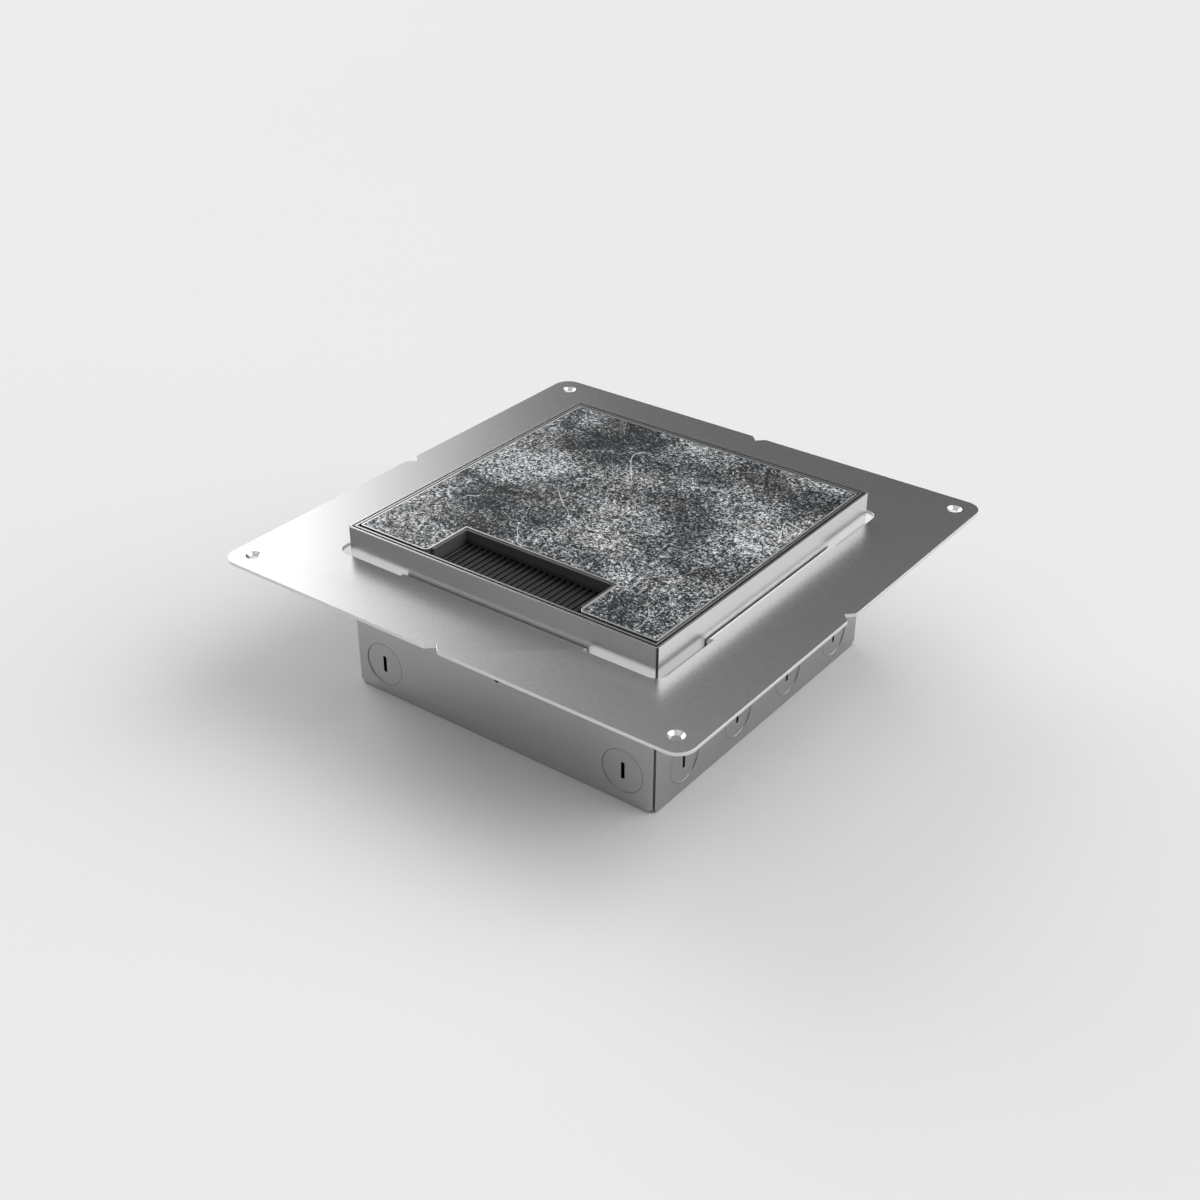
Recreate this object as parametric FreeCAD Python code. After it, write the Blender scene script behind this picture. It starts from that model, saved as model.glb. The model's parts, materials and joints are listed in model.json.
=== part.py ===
"""Floor socket box: folded sheet box, levelling flange plate, tile-filled lid and cable flap.

The origin is the centre of the box's underside. +Z is up, and the cable outlet faces -Y.
All sizes are in millimetres.
"""
import FreeCAD, Part
import math
import os

from FreeCAD import Vector

# ---------------------------------------------------------------- driving sizes

# Folded sheet box
box_side = 203.0
box_height = 99.5
box_sheet = 1.25
box_bend = 2.2                 # outside radius of the folds round the floor
seam_rebate = 0.95             # how far each wall stops short of the corner
corner_relief = 2.6            # clipped corner at the foot of each seam

# Knock-outs for conduit, each with a slot for a screwdriver
knockout_diameter = 25.2
knockout_recess = 0.4          # how far each disc is pressed in
knockout_height = 19.1         # centre above the underside
pry_slot_length = 9.9
pry_slot_width = 2.25
front_knockout_inset = 20.0    # centre to the outside of the next wall
side_knockout_pitch = 50.0
side_knockout_count = 4

# Slots in the walls, along which the flange plate is levelled
level_slot_width = 4.4
level_slot_above = 12.0        # level screw at rest to the ends of its slot
level_slot_below = 25.7

# Flange plate
plate_side = 300.0
plate_sheet = 2.0
plate_drop = 14.0              # rim of the box to the top of the plate
plate_corner_radius = 10.0
plate_hole_inset = 12.5        # edge of the plate to the screw hole
plate_hole_diameter = 4.6
countersink_diameter = 8.6
countersink_depth = 1.5
notch_depth = 4.5
notch_shoulder_radius = 2.0
opening_gap = 4.8              # box wall to the cut edge beside the corners
opening_corner_radius = 7.0
tab_length = 120.0
tab_height = 30.0
tab_gap = 0.5                  # box wall to the tab that is bent down beside it
tab_inside_bend = 1.0
tab_corner_radius = 4.0
level_screw_drop = 20.0        # top of the plate to the screw axis

# Fasteners
level_screw_diameter = 4.0
hex_flats = 7.0                # heads and nuts of the M4 fasteners
hex_head_height = 2.8
hex_nut_height = 3.2
level_washer_diameter = 9.0
level_washer_thickness = 0.8
hole_clearance = 0.1           # round a shank, on the radius
thread_clearance = 0.04        # between a screw and its nut, on the radius
slide_clearance = 0.15         # washer to wall, so that the plate can be levelled
thread_end = 1.5               # how far a screw or stud stands out of its nut

# Frame round the lid
frame_gap = 0.75               # box wall to frame
frame_sheet = 1.5
frame_height = 15.5
frame_corner_radius = 1.0
ledge_width = 10.0
ledge_sheet = 1.5
ledge_outlet_margin = 2.5      # ledge stops this far beside the cable outlet
bracket_length = 24.0
bracket_height = 18.0
bracket_sheet = 1.5
bracket_inside_bend = 1.0
bracket_overhang = 0.5         # ledge reaches this far past the bracket
bracket_front = -70.0
bracket_rear = 48.0
frame_screw_diameter = 4.0
frame_screw_inset = 3.5        # edge of the ledge to the screw axis
seal_width = 3.5
seal_inset = 0.5               # frame to seal
seal_top_radius = 1.0
lid_rest_gap = 0.3             # seal to lid

# Lid
lid_side_gap = 0.8
lid_front_gap = 1.9
lid_rear_gap = 1.0
lid_sweep_gap = 2.0            # round the path of the lid's rear edge as it opens
lid_sheet = 1.0
lid_corner_radius = 1.0
tile_thickness = 10.0
tile_gap = 0.1
tile_edge = 0.3
outlet_width = 100.0
outlet_depth = 31.9
outlet_mouth_radius = 3.5
stiffener_side_gap = 8.0       # inner edge of the ledge to the stiffener
stiffener_front_gap = 1.5
stiffener_rear_gap = 22.0      # pivot axis to the stiffener
stiffener_sheet = 1.5
stiffener_lip = 7.0
stiffener_bend = 2.5
rib_width = 22.0
rib_foot = 7.0
rib_depth = 5.0
rib_spacing = 40.0
rib_slope = 2.0                # how far each side of a rib leans over its depth
rib_outer_bend = 0.8
rib_inner_bend = 0.4

# Lid hinge
pivot_setback = 15.0           # rear edge of the lid to the pivot axis
pivot_drop = 5.0               # top of the lid to the pivot axis
pin_diameter = 4.0
pin_clearance = 0.05
pin_head_diameter = 6.5
pin_head_height = 0.45
pin_end = 0.3                  # pin stops this far inside its bearing plate
pivot_plate_thickness = 2.0
pivot_plate_width = 14.0
pivot_plate_height = 8.0
pivot_plate_radius = 3.0
pocket_clearance = 0.2

# Cable outlet and its flap
liner_wall = 1.6
liner_gap = 0.1
liner_top_drop = 0.5
liner_depth = 16.5             # rim of the lid to the foot of the liner
liner_flange_width = 6.0
liner_flange_thickness = 2.0
liner_flange_radius = 2.0
liner_front_gap = 0.5          # mouth of the outlet to the liner
liner_screw_diameter = 3.0
liner_head_diameter = 5.5
liner_head_height = 2.0
liner_screw_spacing = 60.0
flap_side_gap = 0.5
flap_rear_gap = 0.3
flap_front_gap = 1.2
flap_axis_drop = 12.5
flap_top_drop = 7.0
flap_sheet = 2.0
flap_barrel_diameter = 6.0
flap_lip_height = 1.0
flap_lip_thickness = 1.5
flap_rib_pitch = 4.0
flap_rib_width = 2.4
flap_rib_height = 1.5
flap_rib_chamfer = 0.5
flap_pin_diameter = 3.0
spring_wire = 0.9
spring_mean_diameter = 5.2
spring_turns = 6
spring_leg_angle = 16.0
spring_rear_leg = 3.8
spring_leg_inset = 0.1         # end of the coil to the side of each leg
spring_pocket_margin = 2.0     # beside the coil
spring_pocket_gap = 0.25       # round the coil
spring_leg_gap = 0.05          # front leg to the flap

# Device carriers and devices
carrier_offset = 58.0          # middle of the box to the middle of each carrier
carrier_width = 62.0
carrier_height = 40.0
carrier_sheet = 1.5
carrier_bend = 2.5
carrier_end = 8.0              # last device to the leg
carrier_foot = 13.0
carrier_lip = 8.0
module_size = 45.0
module_count = 3
module_gap = 0.3
module_flange = 2.0
module_face = 4.0
module_depth = 28.0
module_corner_radius = 1.5
recess_diameter = 39.0
recess_depth = 17.5
contact_spacing = 19.0
contact_hole_diameter = 5.2
contact_cover = 1.5
sleeve_side = 6.5              # sleeves are folded square from strip
sleeve_sheet = 0.8
sleeve_gap = 0.05              # sleeve to its chamber
sleeve_length = 11.0
clip_width = 4.0
clip_sheet = 0.8
clip_length = 13.0
clip_rise = 1.5
clip_wall_gap = 0.3
clip_foot = 3.0                # length of the foot beyond the strip
clip_inside_bend = 0.3
jack_width = 15.0
jack_length = 16.0
jack_height = 24.0
jack_spacing = 20.0
jack_gap = 0.1
jack_face_drop = 0.5
jack_port_width = 11.8
jack_port_length = 8.2
jack_port_depth = 14.0
jack_key_width = 6.0
jack_key_length = 2.5
blank_depth = 10.0
blank_wall = 2.0

# Earth connection
earth_stud_diameter = 5.0
earth_stud_height = 14.0
earth_stud_place = 60.0
earth_washer_diameter = 10.0
earth_washer_thickness = 1.0
earth_nut_flats = 8.0
earth_nut_height = 4.0
earth_standoff = 3.0

# ---------------------------------------------------------------- sizes that follow

box_half = box_side / 2
box_inside = box_half - box_sheet
plate_top = box_height - plate_drop
opening_half = box_half + opening_gap
tab_face = box_half + tab_gap
level_screw_height = plate_top - level_screw_drop

frame_outside = box_inside - frame_gap
frame_inside = frame_outside - frame_sheet
frame_foot = box_height - frame_height
ledge_inside = frame_inside - ledge_width
ledge_top = frame_foot + ledge_sheet

lid_half = frame_inside - lid_side_gap
lid_front = -frame_inside + lid_front_gap
lid_rear = frame_inside - lid_rear_gap
lid_floor = box_height - tile_thickness
lid_underside = lid_floor - lid_sheet
outlet_half = outlet_width / 2
outlet_rear = lid_front + outlet_depth

pivot_y = lid_rear - pivot_setback
pivot_z = box_height - pivot_drop
lid_sweep = math.hypot(pivot_setback, pivot_z - lid_underside)
ledge_rear = pivot_y - lid_sweep - lid_sweep_gap

liner_outside = outlet_half - liner_gap
liner_inside = liner_outside - liner_wall
liner_rear = outlet_rear - liner_gap
liner_foot = box_height - liner_depth
liner_front = lid_front + outlet_mouth_radius + liner_front_gap
flange_top = lid_underside
flange_foot = flange_top - liner_flange_thickness

flap_half = liner_inside - flap_side_gap
flap_rear = liner_rear - liner_wall - flap_rear_gap
flap_front = -frame_inside + flap_front_gap
flap_axis_y = flap_rear - flap_barrel_diameter / 2
flap_axis_z = box_height - flap_axis_drop
flap_top = box_height - flap_top_drop
flap_panel_top = flap_top - flap_rib_height
flap_panel_foot = flap_panel_top - flap_sheet
spring_half = (spring_turns * spring_wire) / 2
pocket_half = spring_half + spring_pocket_margin

carrier_half_length = module_count * module_size / 2 + carrier_end
carrier_foot_top = box_sheet + carrier_sheet

# ---------------------------------------------------------------- helpers


def level(z):
    """Outline lies flat at height z."""
    return lambda point: Vector(point.x, point.y, z)


def facing_front(y, x=0.0, z=0.0):
    """Outline stands in the XZ plane at y, about the point x, z."""
    return lambda point: Vector(x + point.x, y, z + point.y)


def facing_side(x):
    """Outline stands in the YZ plane at x."""
    return lambda point: Vector(x, point.x, point.y)


def outline(corners, place):
    """Closed wire through corners (a, b, radius), each rounded by its radius."""
    count = len(corners)
    starts, middles, ends = [], [], []
    for index, (a, b, radius) in enumerate(corners):
        here = Vector(a, b, 0)
        before = Vector(corners[index - 1][0], corners[index - 1][1], 0) - here
        after = Vector(corners[(index + 1) % count][0], corners[(index + 1) % count][1], 0) - here
        before.normalize()
        after.normalize()
        half_angle = before.getAngle(after) / 2
        reach = max(radius, 0.0) / math.tan(half_angle)
        bisector = before + after
        starts.append(here + before * reach)
        ends.append(here + after * reach)
        if radius > 0:
            bisector.normalize()
            middles.append(here + bisector * (radius / math.sin(half_angle) - radius))
        else:
            middles.append(None)
    edges = []
    for index in range(count):
        if middles[index] is not None:
            arc = Part.Arc(place(starts[index]), place(middles[index]), place(ends[index]))
            edges.append(arc.toShape())
        following = (index + 1) % count
        if (starts[following] - ends[index]).Length > 1e-6:
            edges.append(Part.LineSegment(place(ends[index]), place(starts[following])).toShape())
    return Part.Wire(edges)


def prism(corners, place, run):
    """Outline filled and drawn out along the vector run."""
    return Part.Face(outline(corners, place)).extrude(run)


def block(x_low, x_high, y_low, y_high, z_low, z_high):
    """Plain block between two corners."""
    return Part.makeBox(x_high - x_low, y_high - y_low, z_high - z_low, Vector(x_low, y_low, z_low))


def rectangle(x_low, x_high, y_low, y_high, radius=0.0):
    """Corners of a rectangle with one radius all round."""
    return [(x_low, y_low, radius), (x_high, y_low, radius),
            (x_high, y_high, radius), (x_low, y_high, radius)]


def square(half, radius=0.0):
    """Corners of a square about the middle."""
    return rectangle(-half, half, -half, half, radius)


def hexagon(flats):
    """Corners of a hexagon of a given width across flats."""
    reach = flats / math.sqrt(3)
    turns = [math.radians(degrees) for degrees in range(30, 390, 60)]
    return [(reach * math.cos(turn), reach * math.sin(turn), 0) for turn in turns]


def upright(x, y, z_low, z_high, diameter):
    """Round bar along Z."""
    return Part.makeCylinder(diameter / 2, z_high - z_low, Vector(x, y, z_low), Vector(0, 0, 1))


def outward(x, z, inner, outer, diameter):
    """Round bar that points out of the front wall, between two distances from the middle."""
    return Part.makeCylinder(diameter / 2, outer - inner, Vector(x, -inner, z), Vector(0, -1, 0))


def crosswise(y, z, x_low, x_high, diameter):
    """Round bar along X."""
    return Part.makeCylinder(diameter / 2, x_high - x_low, Vector(x_low, y, z), Vector(1, 0, 0))


def turned(shape, degrees):
    """Copy of a shape, turned about the middle of the box."""
    copy = shape.copy()
    copy.rotate(Vector(0, 0, 0), Vector(0, 0, 1), degrees)
    return copy


def moved(shape, x, y, z):
    """Copy of a shape, shifted."""
    copy = shape.copy()
    copy.translate(Vector(x, y, z))
    return copy


def mirrored(shape):
    """Copy of a shape on the other side of the middle plane."""
    return shape.mirror(Vector(0, 0, 0), Vector(1, 0, 0))


def all_round(shape):
    """The shape on each of the four sides."""
    return [turned(shape, degrees) for degrees in (0, 90, 180, 270)]


def joined(shapes):
    """One clean solid from shapes that meet."""
    whole = shapes[0]
    if len(shapes) > 1:
        whole = whole.fuse(shapes[1:])
    return whole.removeSplitter()


def save(name, *shapes):
    """Write one node, from one or more separate solids."""
    solids = [solid for shape in shapes for solid in shape.Solids]
    whole = solids[0] if len(solids) == 1 else Part.makeCompound(solids)
    whole.exportStep(os.path.join("parts", name + ".step"))
    print("%-20s %2d solid(s) %10.1f mm3" % (name, len(solids), sum(solid.Volume for solid in solids)))


# ---------------------------------------------------------------- folded box


def folded_channel(half_length, half_width, foot, height, sheet, bend):
    """Sheet with a wall folded up along two edges, drawn out along X."""
    inside_bend = max(bend - sheet, 0.0)
    top = foot + height
    corners = [
        (-half_width, top, 0), (-half_width, foot, bend), (half_width, foot, bend), (half_width, top, 0),
        (half_width - sheet, top, 0), (half_width - sheet, foot + sheet, inside_bend),
        (sheet - half_width, foot + sheet, inside_bend), (sheet - half_width, top, 0),
    ]
    return prism(corners, facing_side(-half_length), Vector(2 * half_length, 0, 0))


def knockout_cut(x):
    """Recess of a half-sheared disc, and the slot that it is prised out by, on the front wall."""
    recess = outward(x, knockout_height, box_half - knockout_recess, box_half + 1, knockout_diameter)
    slot = block(x - pry_slot_width / 2, x + pry_slot_width / 2, -box_half - 1, 1 - box_inside,
                 knockout_height - pry_slot_length / 2, knockout_height + pry_slot_length / 2)
    return recess.fuse(slot)


def make_box_tray():
    """Floor and four walls folded from one sheet, with open seams, knock-outs and levelling slots."""
    reach = box_half - seam_rebate
    channel = folded_channel(reach, box_half, 0.0, box_height, box_sheet, box_bend)
    tray = joined([channel, turned(channel, 90)])
    relief = block(box_half - corner_relief, box_half + 1, -box_half - 1, corner_relief - box_half,
                   -1, corner_relief)
    half_slot = level_slot_width / 2
    slot_foot = level_screw_height - level_slot_below
    slot_top = level_screw_height + level_slot_above
    level_slot = prism(rectangle(-half_slot, half_slot, slot_foot, slot_top, half_slot),
                       facing_front(1 - box_inside), Vector(0, -box_sheet - 2, 0))
    cuts = all_round(relief) + all_round(level_slot)
    front_place = box_half - front_knockout_inset
    for x in (-front_place, front_place):
        cutter = knockout_cut(x)
        cuts += [cutter, turned(cutter, 180)]
    for index in range(side_knockout_count):
        place = (index - (side_knockout_count - 1) / 2) * side_knockout_pitch
        cutter = knockout_cut(place)
        cuts += [turned(cutter, 90), turned(cutter, 270)]
    return tray.cut(cuts)


# ---------------------------------------------------------------- flange plate and its clamps


def make_flange_plate():
    """Square plate with notched edges, countersunk corners and four tabs bent down beside the box."""
    half = plate_side / 2
    corners = []
    for quarter in range(4):
        side = [(-half, -half, plate_corner_radius), (-notch_depth, -half, notch_shoulder_radius),
                (0, notch_depth - half, 0), (notch_depth, -half, notch_shoulder_radius)]
        for a, b, radius in side:
            for _ in range(quarter):
                a, b = -b, a
            corners.append((a, b, radius))
    underside = plate_top - plate_sheet
    plate = prism(corners, level(underside), Vector(0, 0, plate_sheet))
    plate = plate.cut(prism(square(opening_half, opening_corner_radius), level(underside - 1),
                            Vector(0, 0, plate_sheet + 2)))

    outside = tab_face + plate_sheet
    seat = opening_half + plate_sheet
    section = [(-seat, plate_top, 0), (-tab_face, plate_top, tab_inside_bend + plate_sheet),
               (-tab_face, plate_top - tab_height, 0), (-outside, plate_top - tab_height, 0),
               (-outside, underside, tab_inside_bend), (-seat, underside, 0)]
    tab = prism(section, facing_side(-tab_length / 2), Vector(tab_length, 0, 0))
    shape = rectangle(-tab_length / 2, tab_length / 2, plate_top - tab_height, plate_top + plate_sheet)
    shape[0] = shape[0][:2] + (tab_corner_radius,)
    shape[1] = shape[1][:2] + (tab_corner_radius,)
    tab = tab.common(prism(shape, facing_front(1 - tab_face), Vector(0, tab_face - seat - 2, 0)))
    plate = joined([plate] + all_round(tab))

    bore = level_screw_diameter + 2 * hole_clearance
    hole = outward(0, level_screw_height, tab_face - 1, outside + 1, bore)
    corner = plate_side / 2 - plate_hole_inset
    drill = upright(corner, -corner, underside - 1, plate_top + 1, plate_hole_diameter)
    sink = Part.makeCone(plate_hole_diameter / 2, countersink_diameter / 2, countersink_depth,
                         Vector(corner, -corner, plate_top - countersink_depth), Vector(0, 0, 1))
    return plate.cut(all_round(hole) + all_round(drill) + all_round(sink))


def make_level_clamps():
    """Screws, washers and nuts that clamp each tab through its slot; returns three lists of solids."""
    z = level_screw_height
    washer_seat = box_inside - slide_clearance
    head_seat = washer_seat - level_washer_thickness
    nut_seat = tab_face + plate_sheet
    nut_end = nut_seat + hex_nut_height
    bore = level_screw_diameter + 2 * hole_clearance

    head = prism(hexagon(hex_flats), facing_front(-head_seat, 0, z), Vector(0, hex_head_height, 0))
    shank = outward(0, z, head_seat, nut_end + thread_end, level_screw_diameter)
    screw = joined([head, shank])
    washer = outward(0, z, head_seat, washer_seat, level_washer_diameter)
    washer = washer.cut(outward(0, z, head_seat - 1, washer_seat + 1, bore))
    nut = prism(hexagon(hex_flats), facing_front(-nut_seat, 0, z), Vector(0, -hex_nut_height, 0))
    nut = nut.cut(outward(0, z, nut_seat - 1, nut_end + 1, level_screw_diameter + 2 * thread_clearance))
    return all_round(screw), all_round(washer), all_round(nut)


# ---------------------------------------------------------------- frame round the lid


def make_lid_frame():
    """Upstand all round the lid, with a ledge on three sides that carries it."""
    ring = prism(square(frame_outside, frame_corner_radius), level(frame_foot), Vector(0, 0, frame_height))
    ring = ring.cut(prism(square(frame_inside), level(frame_foot - 1), Vector(0, 0, frame_height + 2)))
    ledge = prism(square(frame_inside + frame_sheet / 2), level(frame_foot), Vector(0, 0, ledge_sheet))
    ledge = ledge.cut([
        prism(square(ledge_inside), level(frame_foot - 1), Vector(0, 0, ledge_sheet + 2)),
        block(-frame_inside, frame_inside, ledge_rear, frame_inside, frame_foot - 1, ledge_top + 1),
        block(-outlet_half - ledge_outlet_margin, outlet_half + ledge_outlet_margin,
              -frame_inside, 0, frame_foot - 1, ledge_top + 1),
    ])
    frame = joined([ring, ledge])
    holes = [crosswise(pivot_y, pivot_z, -frame_outside - 1, frame_outside + 1,
                       pin_diameter + 2 * thread_clearance)]
    x = ledge_inside + frame_screw_inset
    for y in (bracket_front, bracket_rear):
        hole = upright(x, y, frame_foot - 1, ledge_top + 1, frame_screw_diameter + 2 * thread_clearance)
        holes += [hole, mirrored(hole)]
    return frame.cut(holes)


def make_brackets():
    """Angle brackets welded to the side walls under the ledge."""
    inner = ledge_inside + bracket_overhang
    top = frame_foot
    foot = top - bracket_height
    section = [(box_inside, foot, 0), (box_inside, top, bracket_inside_bend + bracket_sheet), (inner, top, 0),
               (inner, top - bracket_sheet, 0),
               (box_inside - bracket_sheet, top - bracket_sheet, bracket_inside_bend),
               (box_inside - bracket_sheet, foot, 0)]
    x = ledge_inside + frame_screw_inset
    brackets = []
    for y in (bracket_front, bracket_rear):
        angle = prism(section, facing_front(y - bracket_length / 2), Vector(0, bracket_length, 0))
        angle = angle.cut(upright(x, y, foot, top + 1, frame_screw_diameter + 2 * hole_clearance))
        brackets += [angle, mirrored(angle)]
    return brackets


def make_frame_screws():
    """Screws from below, through each bracket into the ledge."""
    x = ledge_inside + frame_screw_inset
    seat = frame_foot - bracket_sheet
    screws = []
    for y in (bracket_front, bracket_rear):
        head = moved(prism(hexagon(hex_flats), level(0), Vector(0, 0, hex_head_height)),
                     x, y, seat - hex_head_height)
        shank = upright(x, y, seat, ledge_top, frame_screw_diameter)
        screw = joined([head, shank])
        screws += [screw, mirrored(screw)]
    return screws


def make_frame_seal():
    """Seal strip on the ledge, in two lengths that end beside the cable outlet."""
    outer = frame_inside - seal_inset
    inner = outer - seal_width
    top = lid_underside - lid_rest_gap
    section = rectangle(inner, outer, ledge_top, top)
    section[2] = section[2][:2] + (seal_top_radius,)
    section[3] = section[3][:2] + (seal_top_radius,)
    front_end = outlet_half + ledge_outlet_margin
    along_side = prism(section, facing_front(-outer), Vector(0, ledge_rear + outer - seal_inset, 0))
    front_section = [(-a, b, radius) for a, b, radius in section]
    along_front = prism(front_section, facing_side(front_end), Vector(outer - front_end, 0, 0))
    strip = joined([along_side, along_front])
    return [strip, mirrored(strip)]


# ---------------------------------------------------------------- lid


def lid_corners(inset):
    """Plan of the lid with its cable outlet, drawn in by an inset."""
    half = lid_half - inset
    front = lid_front + inset
    rear = lid_rear - inset
    outlet = outlet_half + inset
    corner = max(lid_corner_radius - inset, 0.0)
    mouth = max(outlet_mouth_radius - inset, 0.0)
    return [(-half, front, corner), (-outlet, front, mouth), (-outlet, outlet_rear + inset, 0),
            (outlet, outlet_rear + inset, 0), (outlet, front, mouth), (half, front, corner),
            (half, rear, corner), (-half, rear, corner)]


def make_lid_tray():
    """Shallow sheet tray whose edge follows the lid and its cable outlet."""
    depth = box_height - lid_underside
    tray = prism(lid_corners(0.0), level(lid_underside), Vector(0, 0, depth))
    tray = tray.cut(prism(lid_corners(lid_sheet), level(lid_floor), Vector(0, 0, depth)))
    cuts = [crosswise(pivot_y, pivot_z, -lid_half - 1, lid_half + 1, pin_diameter + 2 * pin_clearance)]
    bore = liner_screw_diameter + 2 * thread_clearance
    for x, y in liner_screw_places():
        cuts.append(upright(x, y, lid_underside - 1, lid_floor + 1, bore))
    return tray.cut(cuts)


def make_lid_infill():
    """Stone tile cut to the tray, with a pocket at each hinge bearing."""
    tile = prism(lid_corners(lid_sheet + tile_gap), level(lid_floor), Vector(0, 0, tile_thickness))
    top_edges = [edge for edge in tile.Edges if min(v.Z for v in edge.Vertexes) > box_height - 0.01]
    tile = tile.makeChamfer(tile_edge, top_edges)
    inner = lid_half - lid_sheet - pivot_plate_thickness - pocket_clearance
    pocket_half_width = pivot_plate_width / 2 + pocket_clearance
    pocket = block(inner, lid_half, pivot_y - pocket_half_width, pivot_y + pocket_half_width,
                   lid_floor - 1, lid_floor + pivot_plate_height + pocket_clearance)
    return tile.cut([pocket, mirrored(pocket)])


def make_pivot_plates():
    """Bearing plates welded inside the tray's side walls."""
    corners = rectangle(pivot_y - pivot_plate_width / 2, pivot_y + pivot_plate_width / 2,
                        lid_floor, lid_floor + pivot_plate_height)
    corners[2] = corners[2][:2] + (pivot_plate_radius,)
    corners[3] = corners[3][:2] + (pivot_plate_radius,)
    inner = lid_half - lid_sheet - pivot_plate_thickness
    plate = prism(corners, facing_side(inner), Vector(pivot_plate_thickness, 0, 0))
    plate = plate.cut(crosswise(pivot_y, pivot_z, inner - 1, lid_half, pin_diameter + 2 * pin_clearance))
    return [plate, mirrored(plate)]


def make_pivot_pins():
    """Headed pins in the frame, which run in the tray and its bearing plates."""
    inner = lid_half - lid_sheet - pivot_plate_thickness + pin_end
    shank = crosswise(pivot_y, pivot_z, inner, frame_outside, pin_diameter)
    head = crosswise(pivot_y, pivot_z, frame_outside, frame_outside + pin_head_height, pin_head_diameter)
    pin = joined([shank, head])
    return [pin, mirrored(pin)]


def make_lid_stiffener():
    """Sheet folded down along both sides, with pressed ribs across it, welded under the tray."""
    half_width = ledge_inside - stiffener_side_gap
    front = outlet_rear + liner_flange_width + stiffener_front_gap
    rear = pivot_y - stiffener_rear_gap
    height = stiffener_lip + stiffener_sheet
    channel = folded_channel((rear - front) / 2, half_width, 0.0, height, stiffener_sheet, stiffener_bend)
    channel.rotate(Vector(0, 0, 0), Vector(1, 0, 0), 180)
    channel = moved(turned(channel, 90), 0, (front + rear) / 2, lid_underside)

    sheet_foot = lid_underside - stiffener_sheet
    crown = sheet_foot - rib_depth
    foot = rib_width / 2 + rib_foot
    web = rib_width / 2
    inner_web = web - stiffener_sheet / 2
    floor = crown + stiffener_sheet
    section = [(-foot, sheet_foot, 0), (-foot, sheet_foot - stiffener_sheet, 0),
               (-web, sheet_foot - stiffener_sheet, rib_outer_bend), (rib_slope - web, crown, rib_outer_bend),
               (web - rib_slope, crown, rib_outer_bend), (web, sheet_foot - stiffener_sheet, rib_outer_bend),
               (foot, sheet_foot - stiffener_sheet, 0), (foot, sheet_foot, 0),
               (inner_web, sheet_foot, rib_inner_bend), (inner_web - rib_slope, floor, rib_inner_bend),
               (rib_slope - inner_web, floor, rib_inner_bend), (-inner_web, sheet_foot, rib_inner_bend)]
    rib_half = half_width - stiffener_bend - 1
    rib = prism(section, facing_side(-rib_half), Vector(2 * rib_half, 0, 0))
    middle = (front + rear) / 2
    ribs = [moved(rib, 0, middle + side * rib_spacing / 2, 0) for side in (-1, 1)]
    return joined([channel] + ribs)


# ---------------------------------------------------------------- cable outlet


def liner_screw_places():
    """Places of the liner's screws: one beside each end of the outlet and two behind it."""
    out = liner_flange_width / 2 + liner_gap
    beside = (outlet_rear + liner_front) / 2
    behind = liner_screw_spacing / 2
    return [(-outlet_half - out, beside), (outlet_half + out, beside),
            (-behind, outlet_rear + out), (behind, outlet_rear + out)]


def make_outlet_insert():
    """Three-sided liner of the outlet, with a flange under the lid tray."""
    top = box_height - liner_top_drop
    wall = prism([(-liner_outside, liner_front, 0), (-liner_outside, liner_rear, 0),
                  (liner_outside, liner_rear, 0), (liner_outside, liner_front, 0),
                  (liner_inside, liner_front, 0), (liner_inside, liner_rear - liner_wall, 0),
                  (-liner_inside, liner_rear - liner_wall, 0), (-liner_inside, liner_front, 0)],
                 level(liner_foot), Vector(0, 0, top - liner_foot))
    wide = outlet_half + liner_flange_width
    inner = liner_inside + liner_wall / 2
    rear = outlet_rear + liner_flange_width
    flange = prism([(-wide, liner_front, liner_flange_radius), (-wide, rear, liner_flange_radius),
                    (wide, rear, liner_flange_radius), (wide, liner_front, liner_flange_radius),
                    (inner, liner_front, 0), (inner, liner_rear - liner_wall / 2, 0),
                    (-inner, liner_rear - liner_wall / 2, 0), (-inner, liner_front, 0)],
                   level(flange_foot), Vector(0, 0, liner_flange_thickness))
    insert = joined([wall, flange])
    cuts = [crosswise(flap_axis_y, flap_axis_z, -liner_outside - 1, liner_outside + 1,
                      flap_pin_diameter + 2 * thread_clearance)]
    for x, y in liner_screw_places():
        cuts.append(upright(x, y, flange_foot - 1, flange_top + 1, liner_screw_diameter + 2 * hole_clearance))
    window_low = flap_axis_z - spring_mean_diameter
    window_high = flap_axis_z + spring_mean_diameter / 2
    cuts.append(block(spring_half - 3 * spring_wire, spring_half + spring_wire,
                      liner_rear - liner_wall - 1, liner_rear + 1, window_low, window_high))
    return insert.cut(cuts)


def make_insert_screws():
    """Screws from below, through the liner's flange into the tray."""
    screws = []
    for x, y in liner_screw_places():
        head = upright(x, y, flange_foot - liner_head_height, flange_foot, liner_head_diameter)
        shank = upright(x, y, flange_foot, lid_floor, liner_screw_diameter)
        screws.append(joined([head, shank]))
    return screws


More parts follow.
